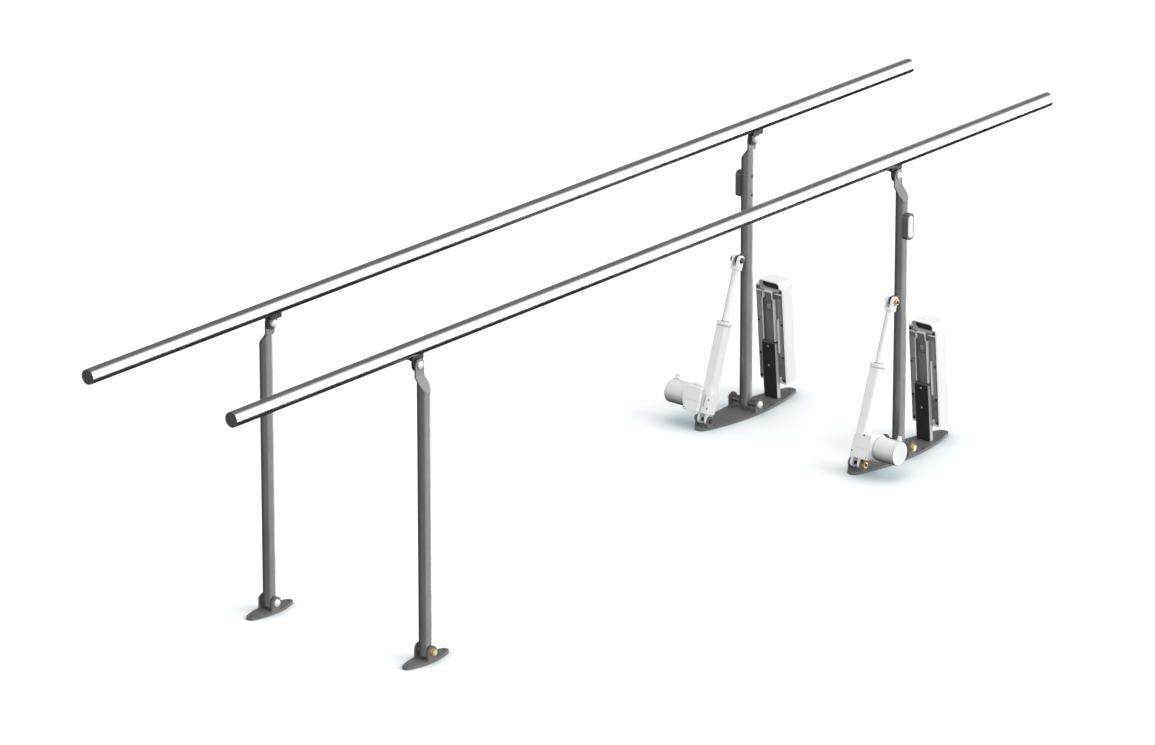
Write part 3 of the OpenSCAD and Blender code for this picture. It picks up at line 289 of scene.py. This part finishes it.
def add_sweep(bm, points, radius, closed=False, sides=10, ripple=0.0, pitch=0.004):
    """A round bead along points; ripple makes the scales of a weld."""
    pts = [Vector(p) for p in points]
    n = len(pts)
    rings = []
    run = 0.0
    normal = None
    for i, p in enumerate(pts):
        ahead = pts[(i + 1) % n] if closed or i < n - 1 else p
        behind = pts[i - 1] if closed or i > 0 else p
        along = (ahead - behind).normalized()
        if normal is None:
            normal = along.orthogonal().normalized()
        normal = (normal - along * normal.dot(along)).normalized()
        side = along.cross(normal)
        if i:
            run += (p - pts[i - 1]).length
        r = radius * (1 + ripple * math.cos(2 * math.pi * run / pitch))
        if not closed and i in (0, n - 1):
            r *= 0.55
        rings.append([bm.verts.new(p + r * (math.cos(a) * normal + math.sin(a) * side))
                      for a in (2 * math.pi * k / sides for k in range(sides))])
    last = n if closed else n - 1
    for i in range(last):
        a, b = rings[i], rings[(i + 1) % n]
        for k in range(sides):
            bm.faces.new((a[k], a[(k + 1) % sides], b[(k + 1) % sides], b[k]))
    if not closed:
        bm.faces.new(rings[0])
        bm.faces.new(rings[-1][::-1])


def dense(points, step=0.0008, closed=False):
    """Resamples a path so that a ripple shows on it."""
    pts = [Vector(p) for p in points]
    if closed:
        pts.append(pts[0])
    out = []
    for a, b in zip(pts, pts[1:]):
        count = max(1, round((b - a).length / step))
        out += [a.lerp(b, i / count) for i in range(count)]
    if not closed:
        out.append(pts[-1])
    return out


def add_lathe(bm, profile, origin=(0, 0, 0), axis="Z", segments=40):
    """Turns a profile of (radius, height) about an axis through origin."""
    turn = {"X": Matrix.Rotation(math.pi / 2, 4, "Y"), "Y": Matrix.Rotation(-math.pi / 2, 4, "X"),
            "Z": Matrix.Identity(4)}[axis]
    place = Matrix.Translation(origin) @ turn
    rings = []
    for r, h in profile:
        if r < 1e-7:
            rings.append([bm.verts.new(place @ Vector((0, 0, h)))])
        else:
            rings.append([bm.verts.new(place @ Vector((r * math.cos(a), r * math.sin(a), h)))
                          for a in (2 * math.pi * k / segments for k in range(segments))])
    for a, b in zip(rings, rings[1:]):
        for k in range(segments):
            j = (k + 1) % segments
            if len(a) == 1 and len(b) > 1:
                bm.faces.new((a[0], b[j], b[k]))
            elif len(b) == 1 and len(a) > 1:
                bm.faces.new((a[k], a[j], b[0]))
            elif len(a) > 1:
                bm.faces.new((a[k], a[j], b[j], b[k]))


# ---------------------------------------------------------------- weld beads

def weld(name, paths, place, body, material, radius):
    """Weld beads along paths, each given by its points and whether it closes."""
    bm = bmesh.new()
    for points, closed in paths:
        add_sweep(bm, dense(points, closed=closed), radius, closed, ripple=0.16)
    return new_object(name, mesh_from(name, bm, place), material, body)


def sleeve_seam(pivot_z, sleeve_r, face, count=48):
    """Where a cross sleeve meets the post's tube, on the tube's face 1 or -1."""
    out = []
    for k in range(count):
        a = 2 * math.pi * k / count
        x, z = sleeve_r * math.cos(a), sleeve_r * math.sin(a)
        out.append((x, face * math.sqrt(TUBE_R ** 2 - x ** 2), pivot_z + z))
    return out


def ear_bead(x, half, y):
    """A bead across the foot of an ear of a floor plate."""
    return [(x - half, y, PLATE_TOP), (x + half, y, PLATE_TOP)], False


FOOT_EAR_BEADS = [(0, 0.017, y) for y in (0.045, -0.051)]
ACTUATOR_EAR_BEADS = [(ACT_X, 0.014, y) for y in (0.0175, 0.0235, -0.0235, -0.0175)]
FRONT_EAR_BEADS = [(0, 0.017, y) for y in (0.020, -0.020)]
LUG_Y, LUG_Z = (0.0058, -0.0058), (0.4625, 0.4835)

for side, sign in SIDES:
    rear, front = rear_frame(sign), front_frame(sign)
    seams = [(sleeve_seam(0.0305, 0.0112, face), True) for face in (1, -1)]
    weld(side + "_rear_sleeve_welds", seams, rear, side + "_rear_post", COAT, 0.0012)
    lug = [([(-0.0172, y, z) for z in LUG_Z], False) for y in LUG_Y]
    weld(side + "_lug_welds", lug, rear, side + "_rear_post", COAT, 0.0015)
    ears = [ear_bead(*bead) for bead in FOOT_EAR_BEADS + ACTUATOR_EAR_BEADS]
    weld(side + "_rear_plate_welds", ears, rear, "floor_frame", PLATE, 0.0015)
    ears = [ear_bead(*bead) for bead in FRONT_EAR_BEADS]
    weld(side + "_front_plate_welds", ears, front, "floor_frame", PLATE, 0.0013)


# ---------------------------------------------------------------- small parts, drawn in millimetres

MM = Matrix.Scale(0.001, 4)
MOTOR_R, MOTOR_Z = 34.98, 57                        # the motor's skin and axis, in the actuator's frame
FORK_Z = 471.2                                      # the fork pin, in the actuator's frame
SWITCH_Z = 690                                      # middle of the rocker switch, up the rear post


def add_ribbon(bm, path, width, x0, x1, closed=False):
    """A rib that follows a path of (y, z), width across, from x0 to x1."""
    pts = [Vector(p) for p in path]
    n = len(pts)
    left, right = [], []
    for i, p in enumerate(pts):
        a = (p - pts[i - 1]).normalized() if closed or i else None
        b = (pts[(i + 1) % n] - p).normalized() if closed or i < n - 1 else None
        a, b = a or b, b or a
        mid = (a + b).normalized()
        across = Vector((-mid.y, mid.x)) * (width / 2 / max(0.4, mid.dot(a)))
        left.append(p + across)
        right.append(p - across)
    rows = [[bm.verts.new((x, q.x, q.y)) for q in line] for line in (left, right) for x in (x0, x1)]
    la, lb, ra, rb = rows
    for i in range(n if closed else n - 1):
        j = (i + 1) % n
        for p, q in ((la, lb), (lb, rb), (rb, ra), (ra, la)):
            bm.faces.new((p[i], p[j], q[j], q[i]))
    if not closed:
        bm.faces.new((la[0], lb[0], rb[0], ra[0]))
        bm.faces.new((la[-1], ra[-1], rb[-1], lb[-1]))


def add_prism(bm, outline, x0, x1, chamfer=0.0):
    """A plate with an outline in (y, z), from x0 to x1, with its near edge (x0) chamfered."""
    n = len(outline)
    mid = sum((Vector(p) for p in outline), Vector((0, 0))) / n
    rings = []
    steps = [(x1, 0.0), (x0 + chamfer, 0.0), (x0, chamfer)] if chamfer else [(x1, 0.0), (x0, 0.0)]
    for x, inset in steps:
        ring = []
        for p in outline:
            v = Vector(p) - mid
            v *= 1 - inset / max(v.length, 1e-6)
            ring.append(bm.verts.new((x, mid.x + v.x, mid.y + v.y)))
        rings.append(ring)
    for a, b in zip(rings, rings[1:]):
        for k in range(n):
            j = (k + 1) % n
            bm.faces.new((a[k], a[j], b[j], b[k]))
    bm.faces.new(rings[0])
    bm.faces.new(rings[-1][::-1])


def oval(w, h, cy=0.0, cz=0.0, r=None, steps=8):
    """Outline of a rectangle w by h with round corners r, in (y, z)."""
    r = min(w, h) / 2 if r is None else r
    out = []
    for i, (sy, sz) in enumerate(((1, 1), (-1, 1), (-1, -1), (1, -1))):
        for k in range(steps + 1):
            a = math.pi / 2 * (i + k / steps)
            out.append((cy + sy * (w / 2 - r) + r * math.cos(a), cz + sz * (h / 2 - r) + r * math.sin(a)))
    return out


def add_screw(bm, origin, axis, r=2.6, h=1.3, socket=1.2):
    """A pan head with a hexagon socket; the head rises along its axis."""
    head = [(0, 0), (r, 0), (r, h * 0.55), (r * 0.86, h * 0.92), (r * 0.7, h), (socket, h)]
    add_lathe(bm, head, origin, axis, 24)
    add_lathe(bm, [(socket, h), (socket, h * 0.25), (0, h * 0.2)], origin, axis, 6)


def merge(bm, sub, place):
    """Adds the geometry of sub, moved by place, to bm."""
    sub.transform(place)
    mesh = bpy.data.meshes.new("part")
    sub.to_mesh(mesh)
    sub.free()
    bm.from_mesh(mesh)
    bpy.data.meshes.remove(mesh)


def piece(name, bm, place, material, body, bevel=0.0, smooth=True):
    """A piece from a bmesh in millimetres, with its sharp edges bevelled where asked."""
    obj = new_object(name, mesh_from(name, bm, place @ MM, smooth), material, body)
    if bevel:
        mod = obj.modifiers.new("edges", "BEVEL")
        mod.width = bevel * 0.001
        mod.segments = 2
        mod.limit_method = "ANGLE"
        mod.angle_limit = math.radians(35)
    return obj


def control_box_details(side, sign):
    """Ribs, panels, catch and plugs of the back plate, with painted light on the ribs and bracket flanges,
    painted shade in the grip pocket and on the bracket's web, and seams of the cover.
    """
    place = box_frame(sign)
    bm = bmesh.new()
    # Ribs painted white as painted light, for their lit side faces.
    leg = [(20.4, 128), (20.4, 258), (16.5, 262.5), (16.2, 278), (12.5, 281.5)]
    add_ribbon(bm, leg + [(-y, z) for y, z in reversed(leg)], 3.4, -8.9, 0.2)
    for s in (1, -1):
        add_ribbon(bm, [(s * 23, 276), (s * 30, 277.5), (s * 45.5, 277.5)], 2.0, -4.6, 0.2)
    add_ribbon(bm, [(-sign * 31.5, 93), (-sign * 31.5, 198)], 2.4, -7.0, 0.2)
    piece(side + "_box_ribs", bm, place, LIT_RIB, "floor_frame", 0.35, smooth=False)
    bm = bmesh.new()
    for s in (1, -1):
        for z in (53, 68):
            add_ribbon(bm, [(s * 30, z), (s * 46, z)], 1.6, -1.5, 0.2)
    add_ribbon(bm, oval(23, 28, 0, 233, 3), 1.6, -2.2, 0.2, closed=True)
    piece(side + "_box_panel_edges", bm, place, BACK, "floor_frame", 0.25, smooth=False)
    bm = bmesh.new()
    for s in (1, -1):
        for z, h in ((134.5, 108), (227, 69)):
            add_prism(bm, oval(13.5, h, s * 36.2, z, 2.5, 4), -0.9, 0.1, 0.4)
    piece(side + "_box_side_panels", bm, place, PANEL, "floor_frame", smooth=False)
    bm = bmesh.new()
    add_prism(bm, oval(12, 12.5, 0, 232.8, 1.5, 4), -5.4, -3.0, 0.8)
    add_ribbon(bm, [(-3.2, 230.5), (0, 233.6), (3.2, 230.5)], 1.1, -6.2, -5.2)
    piece(side + "_latch_slider", bm, place, LATCH, "floor_frame", 0.2, smooth=False)
    # A black sheet of painted shade at the back of the grip pocket.
    bm = bmesh.new()
    add_prism(bm, oval(71.4, 25.4, 0, 294.2, 10, 6), 18.7, 19.8, 0.4)
    for k in range(-2, 3):
        add_ribbon(bm, [(13.5 * k, 285), (13.5 * k, 303)], 1.2, 17.9, 18.8)
    piece(side + "_grip_pocket_shade", bm, place, SHADE_SHEET, "floor_frame", 0.2, smooth=False)
    # A black sheet of painted shade on the bracket's web, which is dark only from shade.
    bm = bmesh.new()
    add_prism(bm, [(-22.6, -51.4), (22.6, -51.4), (22.6, 122.6), (-22.6, 122.6)], -15.0, -14.4, 0.3)
    for k in range(-7, 8):
        add_ribbon(bm, [(2.9 * k, -50.5), (2.9 * k, 122)], 0.5, -15.25, -14.9)
    piece(side + "_bracket_web_shade", bm, place, SHADE_SHEET, "floor_frame", smooth=False)
    # The bracket's flanges in a light grey of painted light, for their lit outer faces.
    bm = bmesh.new()
    for s in (1, -1):
        y0, y1 = sorted((s * 24.3, s * 24.85))
        add_prism(bm, [(y1, -50), (y1, 121), (y0, 121), (y0, -50)], -14.1, -0.8)
    piece(side + "_bracket_flanges", bm, place, LIT_FLANGE, "floor_frame", 0.12, smooth=False)
    bm = bmesh.new()
    for z in (52, 112):
        sub = bmesh.new()
        add_screw(sub, (0, 0, 0), "X", 3.6, 1.5, 1.6)
        merge(bm, sub, Matrix.Translation((-16.6, 0, z)) @ Matrix.Rotation(math.pi, 4, "Z"))
    piece(side + "_bracket_screws", bm, place, ZINC, "floor_frame")
    bm = bmesh.new()
    for s in (1, -1):
        add_sweep(bm, dense([(4.15, s * 48.05, -5.0), (4.15, s * 48.05, 291.5)], 2.0), 0.22, sides=6)
    piece(side + "_cover_seams", bm, place, GASKET, "floor_frame")
    bm = bmesh.new()
    rim = [(0, -12.2), (4.2, -12.2), (5.2, -11.4), (5.2, -9), (8.4, -9), (8.4, -8.2), (8.9, -7.0),
           (8.9, -5.9)]
    for i in (-1, 0, 1):
        add_lathe(bm, rim, (30, i * 22, 0), "Z", 28)
    piece(side + "_socket_rims", bm, place, WHITE, "floor_frame")
    bm = bmesh.new()
    outer = -sign
    for y, z, h in ((29.5, 8.5, 14), (33.5, -1.0, 7)):
        add_prism(bm, oval(6.5, h, outer * y, z, 2.2, 4), -3.6, 0.2, 0.8)
    piece(side + "_side_plugs", bm, place, WHITE, "floor_frame", smooth=False)


def actuator_details(side, sign):
    """The gearbox housing, and the actuator's seams, screws, end cap, gland, seals and ridges."""
    place = actuator_frame(sign)
    body = side + "_actuator"
    bm = bmesh.new()
    for k in range(3):
        a = math.radians(90 + 120 * k)
        add_screw(bm, (27 * math.cos(a), 137.2, MOTOR_Z + 27 * math.sin(a)), "Y", 2.0, 0.9, 0.9)
    for x in (-22, 22):
        for z in (25, 81):
            add_screw(bm, (x * 1.18, 51.9, z), "Y", 2.4, 1.2, 1.1)
    piece(side + "_actuator_screws", bm, place, PAINT, body)
    bm = bmesh.new()
    for y, r in ((129.5, 0.22), (65.4, 0.4)):
        turns = [math.tau * k / 72 for k in range(72)]
        ring = [(MOTOR_R * math.cos(a), y, MOTOR_Z + MOTOR_R * math.sin(a)) for a in turns]
        add_sweep(bm, ring, r, closed=True, sides=6)
    add_sweep(bm, dense([(-39.0, 9, 48.5), (-39.0, 55, 48.5)], 2.0), 0.3, sides=6)
    piece(side + "_housing_seams", bm, place, SEAM, body)
    bm = bmesh.new()
    cap = [(32.6, 136.0), (33.6, 137.0), (33.0, 137.5), (31.4, 137.3), (0, 137.2)]
    add_lathe(bm, cap, (0, 0, MOTOR_Z), "Y", 72)
    piece(side + "_motor_end_cap", bm, place, PAINT, body, smooth=False)
    bm = bmesh.new()
    gland = [(7.6, 0), (7.8, 0.8), (7.0, 1.6), (6.2, 1.8), (6.2, 9.5), (6.6, 10), (6.6, 11.4),
             (5.9, 12.1), (3.2, 12.2)]
    add_lathe(bm, gland, (0, 126, 94.0), "Z", 28)
    piece(side + "_cable_gland", bm, place, PAINT, body)
    bm = bmesh.new()
    mark = ((-38.9, 31.0, 86.0), 2.6) if sign < 0 else ((-19.3, -15.5, 60.0), 2.2)
    for o, r in (((-19.4, -14.5, 33.5), 2.4), ((-38.9, 52.0, 25.0), 1.7), mark):
        sub = bmesh.new()
        add_screw(sub, (0, 0, 0), "X", r, 1.4, r * 0.48)
        merge(bm, sub, Matrix.Translation(o) @ Matrix.Rotation(math.pi, 4, "Z"))
    piece(side + "_gearbox_screws", bm, place, DARK, body)
    bm = bmesh.new()
    add_prism(bm, oval(52, 72.4, 32, 53.8, 4, 6), -39, -25, 1.2)
    add_prism(bm, oval(42.8, 71.6, 36.1, 53.8, 4, 6), -38.0, 33.4, 1.2)
    add_ribbon(bm, [(9.5, 87.2), (54.5, 87.2), (54.5, 20.4), (9.5, 20.4)], 1.0, -39.25, -38.6, closed=True)
    piece(side + "_gear_housing", bm, place, PAINT, body, smooth=False)
    bm = bmesh.new()
    outline = oval(35.6, 35.6, 0, 0, 7.8, 5)
    add_sweep(bm, dense([(x, y, 277.4) for x, y in outline], 2.0, closed=True), 0.45, closed=True, sides=8)
    add_lathe(bm, [(13.6, 290.0), (13.4, 290.7), (10.9, 290.9), (10.25, 290.2)], (0, 0, 0), "Z", 40)
    piece(side + "_collar_seals", bm, place, GASKET, body)
    bm = bmesh.new()
    for x in (-18.0, 18.0):
        for y in (-4.2, 4.2):
            add_sweep(bm, dense([(x, y, 92), (x, y, 272)], 3.0), 0.3, sides=6)
    piece(side + "_tube_ridges", bm, place, PAINT, body)
    bm = bmesh.new()
    ring = [(10.1, 441.0), (10.9, 441.1), (11.2, 441.6), (10.9, 442.1), (10.1, 442.2)]
    add_lathe(bm, ring, (0, 0, 0), "Z", 40)
    piece(side + "_fork_ring", bm, place, PAINT, side + "_rod")


def post_top_seam(side, name, place, body):
    """The seam below a post's slanted closing plate."""
    slope = math.tan(math.radians(52))
    radius, top, drop, steps = 18.05, 803, 8.12, 60
    points = []
    for k in range(steps + 1):
        a = math.radians(-41 + 262 * k / steps)
        x, y = radius * math.cos(a), radius * math.sin(a)
        points.append((x, y, top - (y + 12) * slope - drop))
    bm = bmesh.new()
    add_sweep(bm, points, 0.55, sides=6)
    piece(side + name, bm, place, BLACK, body)


def rocker(side, sign):
    """A crowned rocker with a waist, in place of the flat one, and the bezel around it."""
    half_h, end_r, round_over = 33, 11, 3.2
    rear_y, rim_y, crown, top_y = 28.0, 31.3, 2.4, 34.9
    rows, cols = 28, 12
    bm = bmesh.new()
    grid = []
    for level in range(2):
        for i in range(rows + 1):
            z = half_h * math.sin(math.pi * (i / rows - 0.5))
            past = max(0.0, abs(z) - (half_h - end_r))
            half = end_r * math.sqrt(max(0.0, 1 - (past / end_r) ** 2))
            line = []
            for k in range(cols + 1):
                x = half * math.sin(math.pi * (k / cols - 0.5))
                y = rear_y
                if level == 0:
                    rim = min(1.0, (end_r + 0.05 - math.hypot(x, past)) / round_over)
                    y = rim_y + crown * math.sqrt(max(0.0, 1 - (1 - rim) ** 2)) + (z / half_h) ** 2
                line.append(bm.verts.new((x, min(y, top_y), SWITCH_Z + z)))
            grid.append(line)
    front, rear = grid[: rows + 1], grid[rows + 1:]
    for sheet in (front, rear):
        for i in range(rows):
            for k in range(cols):
                quad = (sheet[i][k], sheet[i][k + 1], sheet[i + 1][k + 1], sheet[i + 1][k])
                bm.faces.new(quad)
    rim = [(0, k) for k in range(cols + 1)] + [(i, cols) for i in range(1, rows + 1)] \
        + [(rows, k) for k in range(cols - 1, -1, -1)] + [(i, 0) for i in range(rows - 1, 0, -1)]
    for (i, k), (j, m) in zip(rim, rim[1:] + rim[:1]):
        bm.faces.new((front[i][k], front[j][m], rear[j][m], rear[i][k]))
    bmesh.ops.remove_doubles(bm, verts=bm.verts, dist=0.01)
    obj = piece(side + "_rocker_button", bm, rear_frame(sign), ROCKER, side + "_rocker")
    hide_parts(side + "_switch_rocker")
    bm = bmesh.new()
    outline = oval(25.4, 69.4, 0, SWITCH_Z, 12.6, 10)
    add_sweep(bm, [(x, 32.0, z) for x, z in outline], 0.9, closed=True, sides=8)
    piece(side + "_switch_bezel", bm, rear_frame(sign), HOUSING, side + "_rear_post")


def fork_pin(side, sign):
    """Dark pin with a head on the inner side and a gold nut on the outer side."""
    place = actuator_frame(sign)
    bm = bmesh.new()
    pin = [(0, -18), (6.4, -18), (7.4, -17.6), (8, -16.8), (8, -14), (5, -14), (5, 23.6), (4.6, 24), (0, 24)]
    add_lathe(bm, pin, (0, 0, FORK_Z), "Y", 32)
    piece(side + "_fork_bolt", bm, place, DARK, side + "_rod")
    bm = bmesh.new()
    washer = [(5.2, 14), (9.6, 14), (9.8, 14.4), (9.8, 15), (9.3, 15.4), (5.2, 15.4)]
    add_lathe(bm, washer, (0, 0, FORK_Z), "Y", 40)
    corner = 17 / math.sqrt(3)
    hexagon = [(5.1, 15.4), (corner - 0.4, 15.4), (corner, 16.2), (corner, 20.9), (corner - 1.2, 22),
               (5.1, 22)]
    add_lathe(bm, hexagon, (0, 0, FORK_Z), "Y", 6)
    nut = piece(side + "_fork_nut", bm, place, YELLOW, side + "_rod", 0.3, smooth=False)
    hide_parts(side + "_rod_pin")


for side, sign in SIDES:
    fork_pin(side, sign)
    control_box_details(side, sign)
    actuator_details(side, sign)
    post_top_seam(side, "_rear_top_seam", rear_frame(sign), side + "_rear_post")
    post_top_seam(side, "_front_top_seam", front_frame(sign), side + "_front_post")
    rocker(side, sign)


# ---------------------------------------------------------------- stage, lights, camera

def floor_material():
    """White to the camera, with a faint cool shadow."""
    t = Tree("studio_floor")
    paths = t.new("ShaderNodeLightPath")
    plain = t.new("ShaderNodeBsdfDiffuse", Color=(0.32, 0.32, 0.32, 1))
    lit = t.new("ShaderNodeBsdfDiffuse")
    near = t.new("ShaderNodeAmbientOcclusion", Distance=0.30)
    near.samples = 8
    open_air = t.spread(near.outputs["AO"], 0, 1, 0.50, 1.0)
    t.join(t.blend(open_air, (0.55, 0.60, 0.62), (0.98, 0.94, 0.925)), lit.inputs[0])
    glow = t.new("ShaderNodeEmission", Color=(0.03, 0.07, 0.085, 1), Strength=1.0)
    both = t.new("ShaderNodeAddShader")
    t.join(lit.outputs[0], both.inputs[0])
    t.join(glow.outputs[0], both.inputs[1])
    pick = t.new("ShaderNodeMixShader")
    t.join(paths.outputs["Is Camera Ray"], pick.inputs[0])
    t.join(plain.outputs[0], pick.inputs[1])
    t.join(both.outputs[0], pick.inputs[2])
    t.join(pick.outputs[0], t.out.inputs[0])
    return t.mat


def card_material(name, level):
    """An even glow."""
    t = Tree(name)
    glow = t.new("ShaderNodeEmission", Color=(level, level, level, 1), Strength=1.0)
    t.join(glow.outputs[0], t.out.inputs[0])
    return t.mat


def stage_sheet(name, corners, material):
    """A flat sheet of the studio, which isn't part of the object."""
    mesh = bpy.data.meshes.new(name)
    mesh.from_pydata(corners, [], [tuple(range(len(corners)))])
    mesh.materials.append(material)
    obj = bpy.data.objects.new(name, mesh)
    bpy.context.scene.collection.objects.link(obj)
    return obj


def reflection_card(name, corners, level):
    """A studio card that only shows in glossy surfaces."""
    obj = stage_sheet(name, corners, card_material(name + "_grey", level))
    obj.visible_camera = False
    obj.visible_diffuse = False
    obj.visible_shadow = False
    obj.visible_transmission = False
    return obj


FAR = 60
floor_corners = [(-FAR, -FAR, 0), (FAR, -FAR, 0), (FAR, FAR, 0), (-FAR, FAR, 0)]
floor = stage_sheet("studio_floor", floor_corners, floor_material())
floor.visible_glossy = False
reflection_card("floor_card", [(-70, -36, -20), (76, -36, -20), (76, 60, -20), (-70, 60, -20)], 0.02)
reflection_card("front_card", [(-70, -48, -20), (70, -48, -20), (70, -36, -20), (-70, -36, -20)], 0.80)
reflection_card("side_card", [(-30, -30, -14), (27, -30, -14), (27, -30, 5), (-30, -30, 5)], 2.5)
reflection_card("end_card", [(40, -32, -19.9), (40, 12, -19.9), (40, 12, -2), (40, -32, -2)], 4.6)
reflection_card("back_card", [(-70, 60, -20), (76, 60, -20), (76, 60, 25), (-70, 60, 25)], 0.12)
reflection_card("ceiling_card", [(-70, -3.8, 25), (70, -3.8, 25), (70, 60, 25), (-70, 60, 25)], 0.12)
reflection_card("top_card", [(-70, -8.0, 25.1), (70, -8.0, 25.1), (70, -3.8, 25.1), (-70, -3.8, 25.1)], 0.42)

world = bpy.data.worlds.new("studio")
bpy.context.scene.world = world
world.use_nodes = True
wt = world.node_tree
wt.nodes.clear()
out = wt.nodes.new("ShaderNodeOutputWorld")
mix = wt.nodes.new("ShaderNodeMixShader")
soft = wt.nodes.new("ShaderNodeBackground")
soft.inputs[0].default_value = (0.96, 0.98, 1.0, 1)
soft.inputs[1].default_value = 0.84
white = wt.nodes.new("ShaderNodeBackground")
white.inputs[0].default_value = (1, 1, 1, 1)
white.inputs[1].default_value = 1.0
paths = wt.nodes.new("ShaderNodeLightPath")
seen = wt.nodes.new("ShaderNodeMath")
seen.operation = "MAXIMUM"
seen_all = wt.nodes.new("ShaderNodeMath")
seen_all.operation = "MAXIMUM"
wt.links.new(paths.outputs["Is Camera Ray"], seen.inputs[0])
wt.links.new(paths.outputs["Is Glossy Ray"], seen.inputs[1])
wt.links.new(seen.outputs[0], seen_all.inputs[0])
wt.links.new(paths.outputs["Is Transmission Ray"], seen_all.inputs[1])
wt.links.new(seen_all.outputs[0], mix.inputs[0])
wt.links.new(soft.outputs[0], mix.inputs[1])
wt.links.new(white.outputs[0], mix.inputs[2])
wt.links.new(mix.outputs[0], out.inputs[0])


def sun(name, toward, strength, angle):
    """A wide soft lamp that shines from the direction toward."""
    data = bpy.data.lights.new(name, "SUN")
    data.energy = strength
    data.angle = math.radians(angle)
    obj = bpy.data.objects.new(name, data)
    obj.rotation_mode = "QUATERNION"
    obj.rotation_quaternion = Vector(toward).to_track_quat("Z", "Y")
    bpy.context.scene.collection.objects.link(obj)


sun("key", (0.35, -0.80, 0.45), 1.60, 45)
sun("top", (0.10, 0.05, 1.0), 0.30, 80)
sun("end", (-0.90, 0.05, 0.42), 0.42, 80)

camera_data = bpy.data.cameras.new("camera")
camera_data.sensor_fit = "HORIZONTAL"
camera_data.sensor_width = 36.0
camera_data.lens = 242.655
camera_data.clip_start = 1.0
camera_data.clip_end = 200.0
camera = bpy.data.objects.new("camera", camera_data)
camera.location = (-15.54896, -12.92750, 7.74611)
camera.rotation_mode = "QUATERNION"
camera.rotation_quaternion = Vector((0.72226576, 0.60298613, -0.33873278)).to_track_quat("-Z", "Y")
bpy.context.scene.collection.objects.link(camera)
bpy.context.scene.camera = camera
bpy.context.scene.view_settings.view_transform = "Standard"
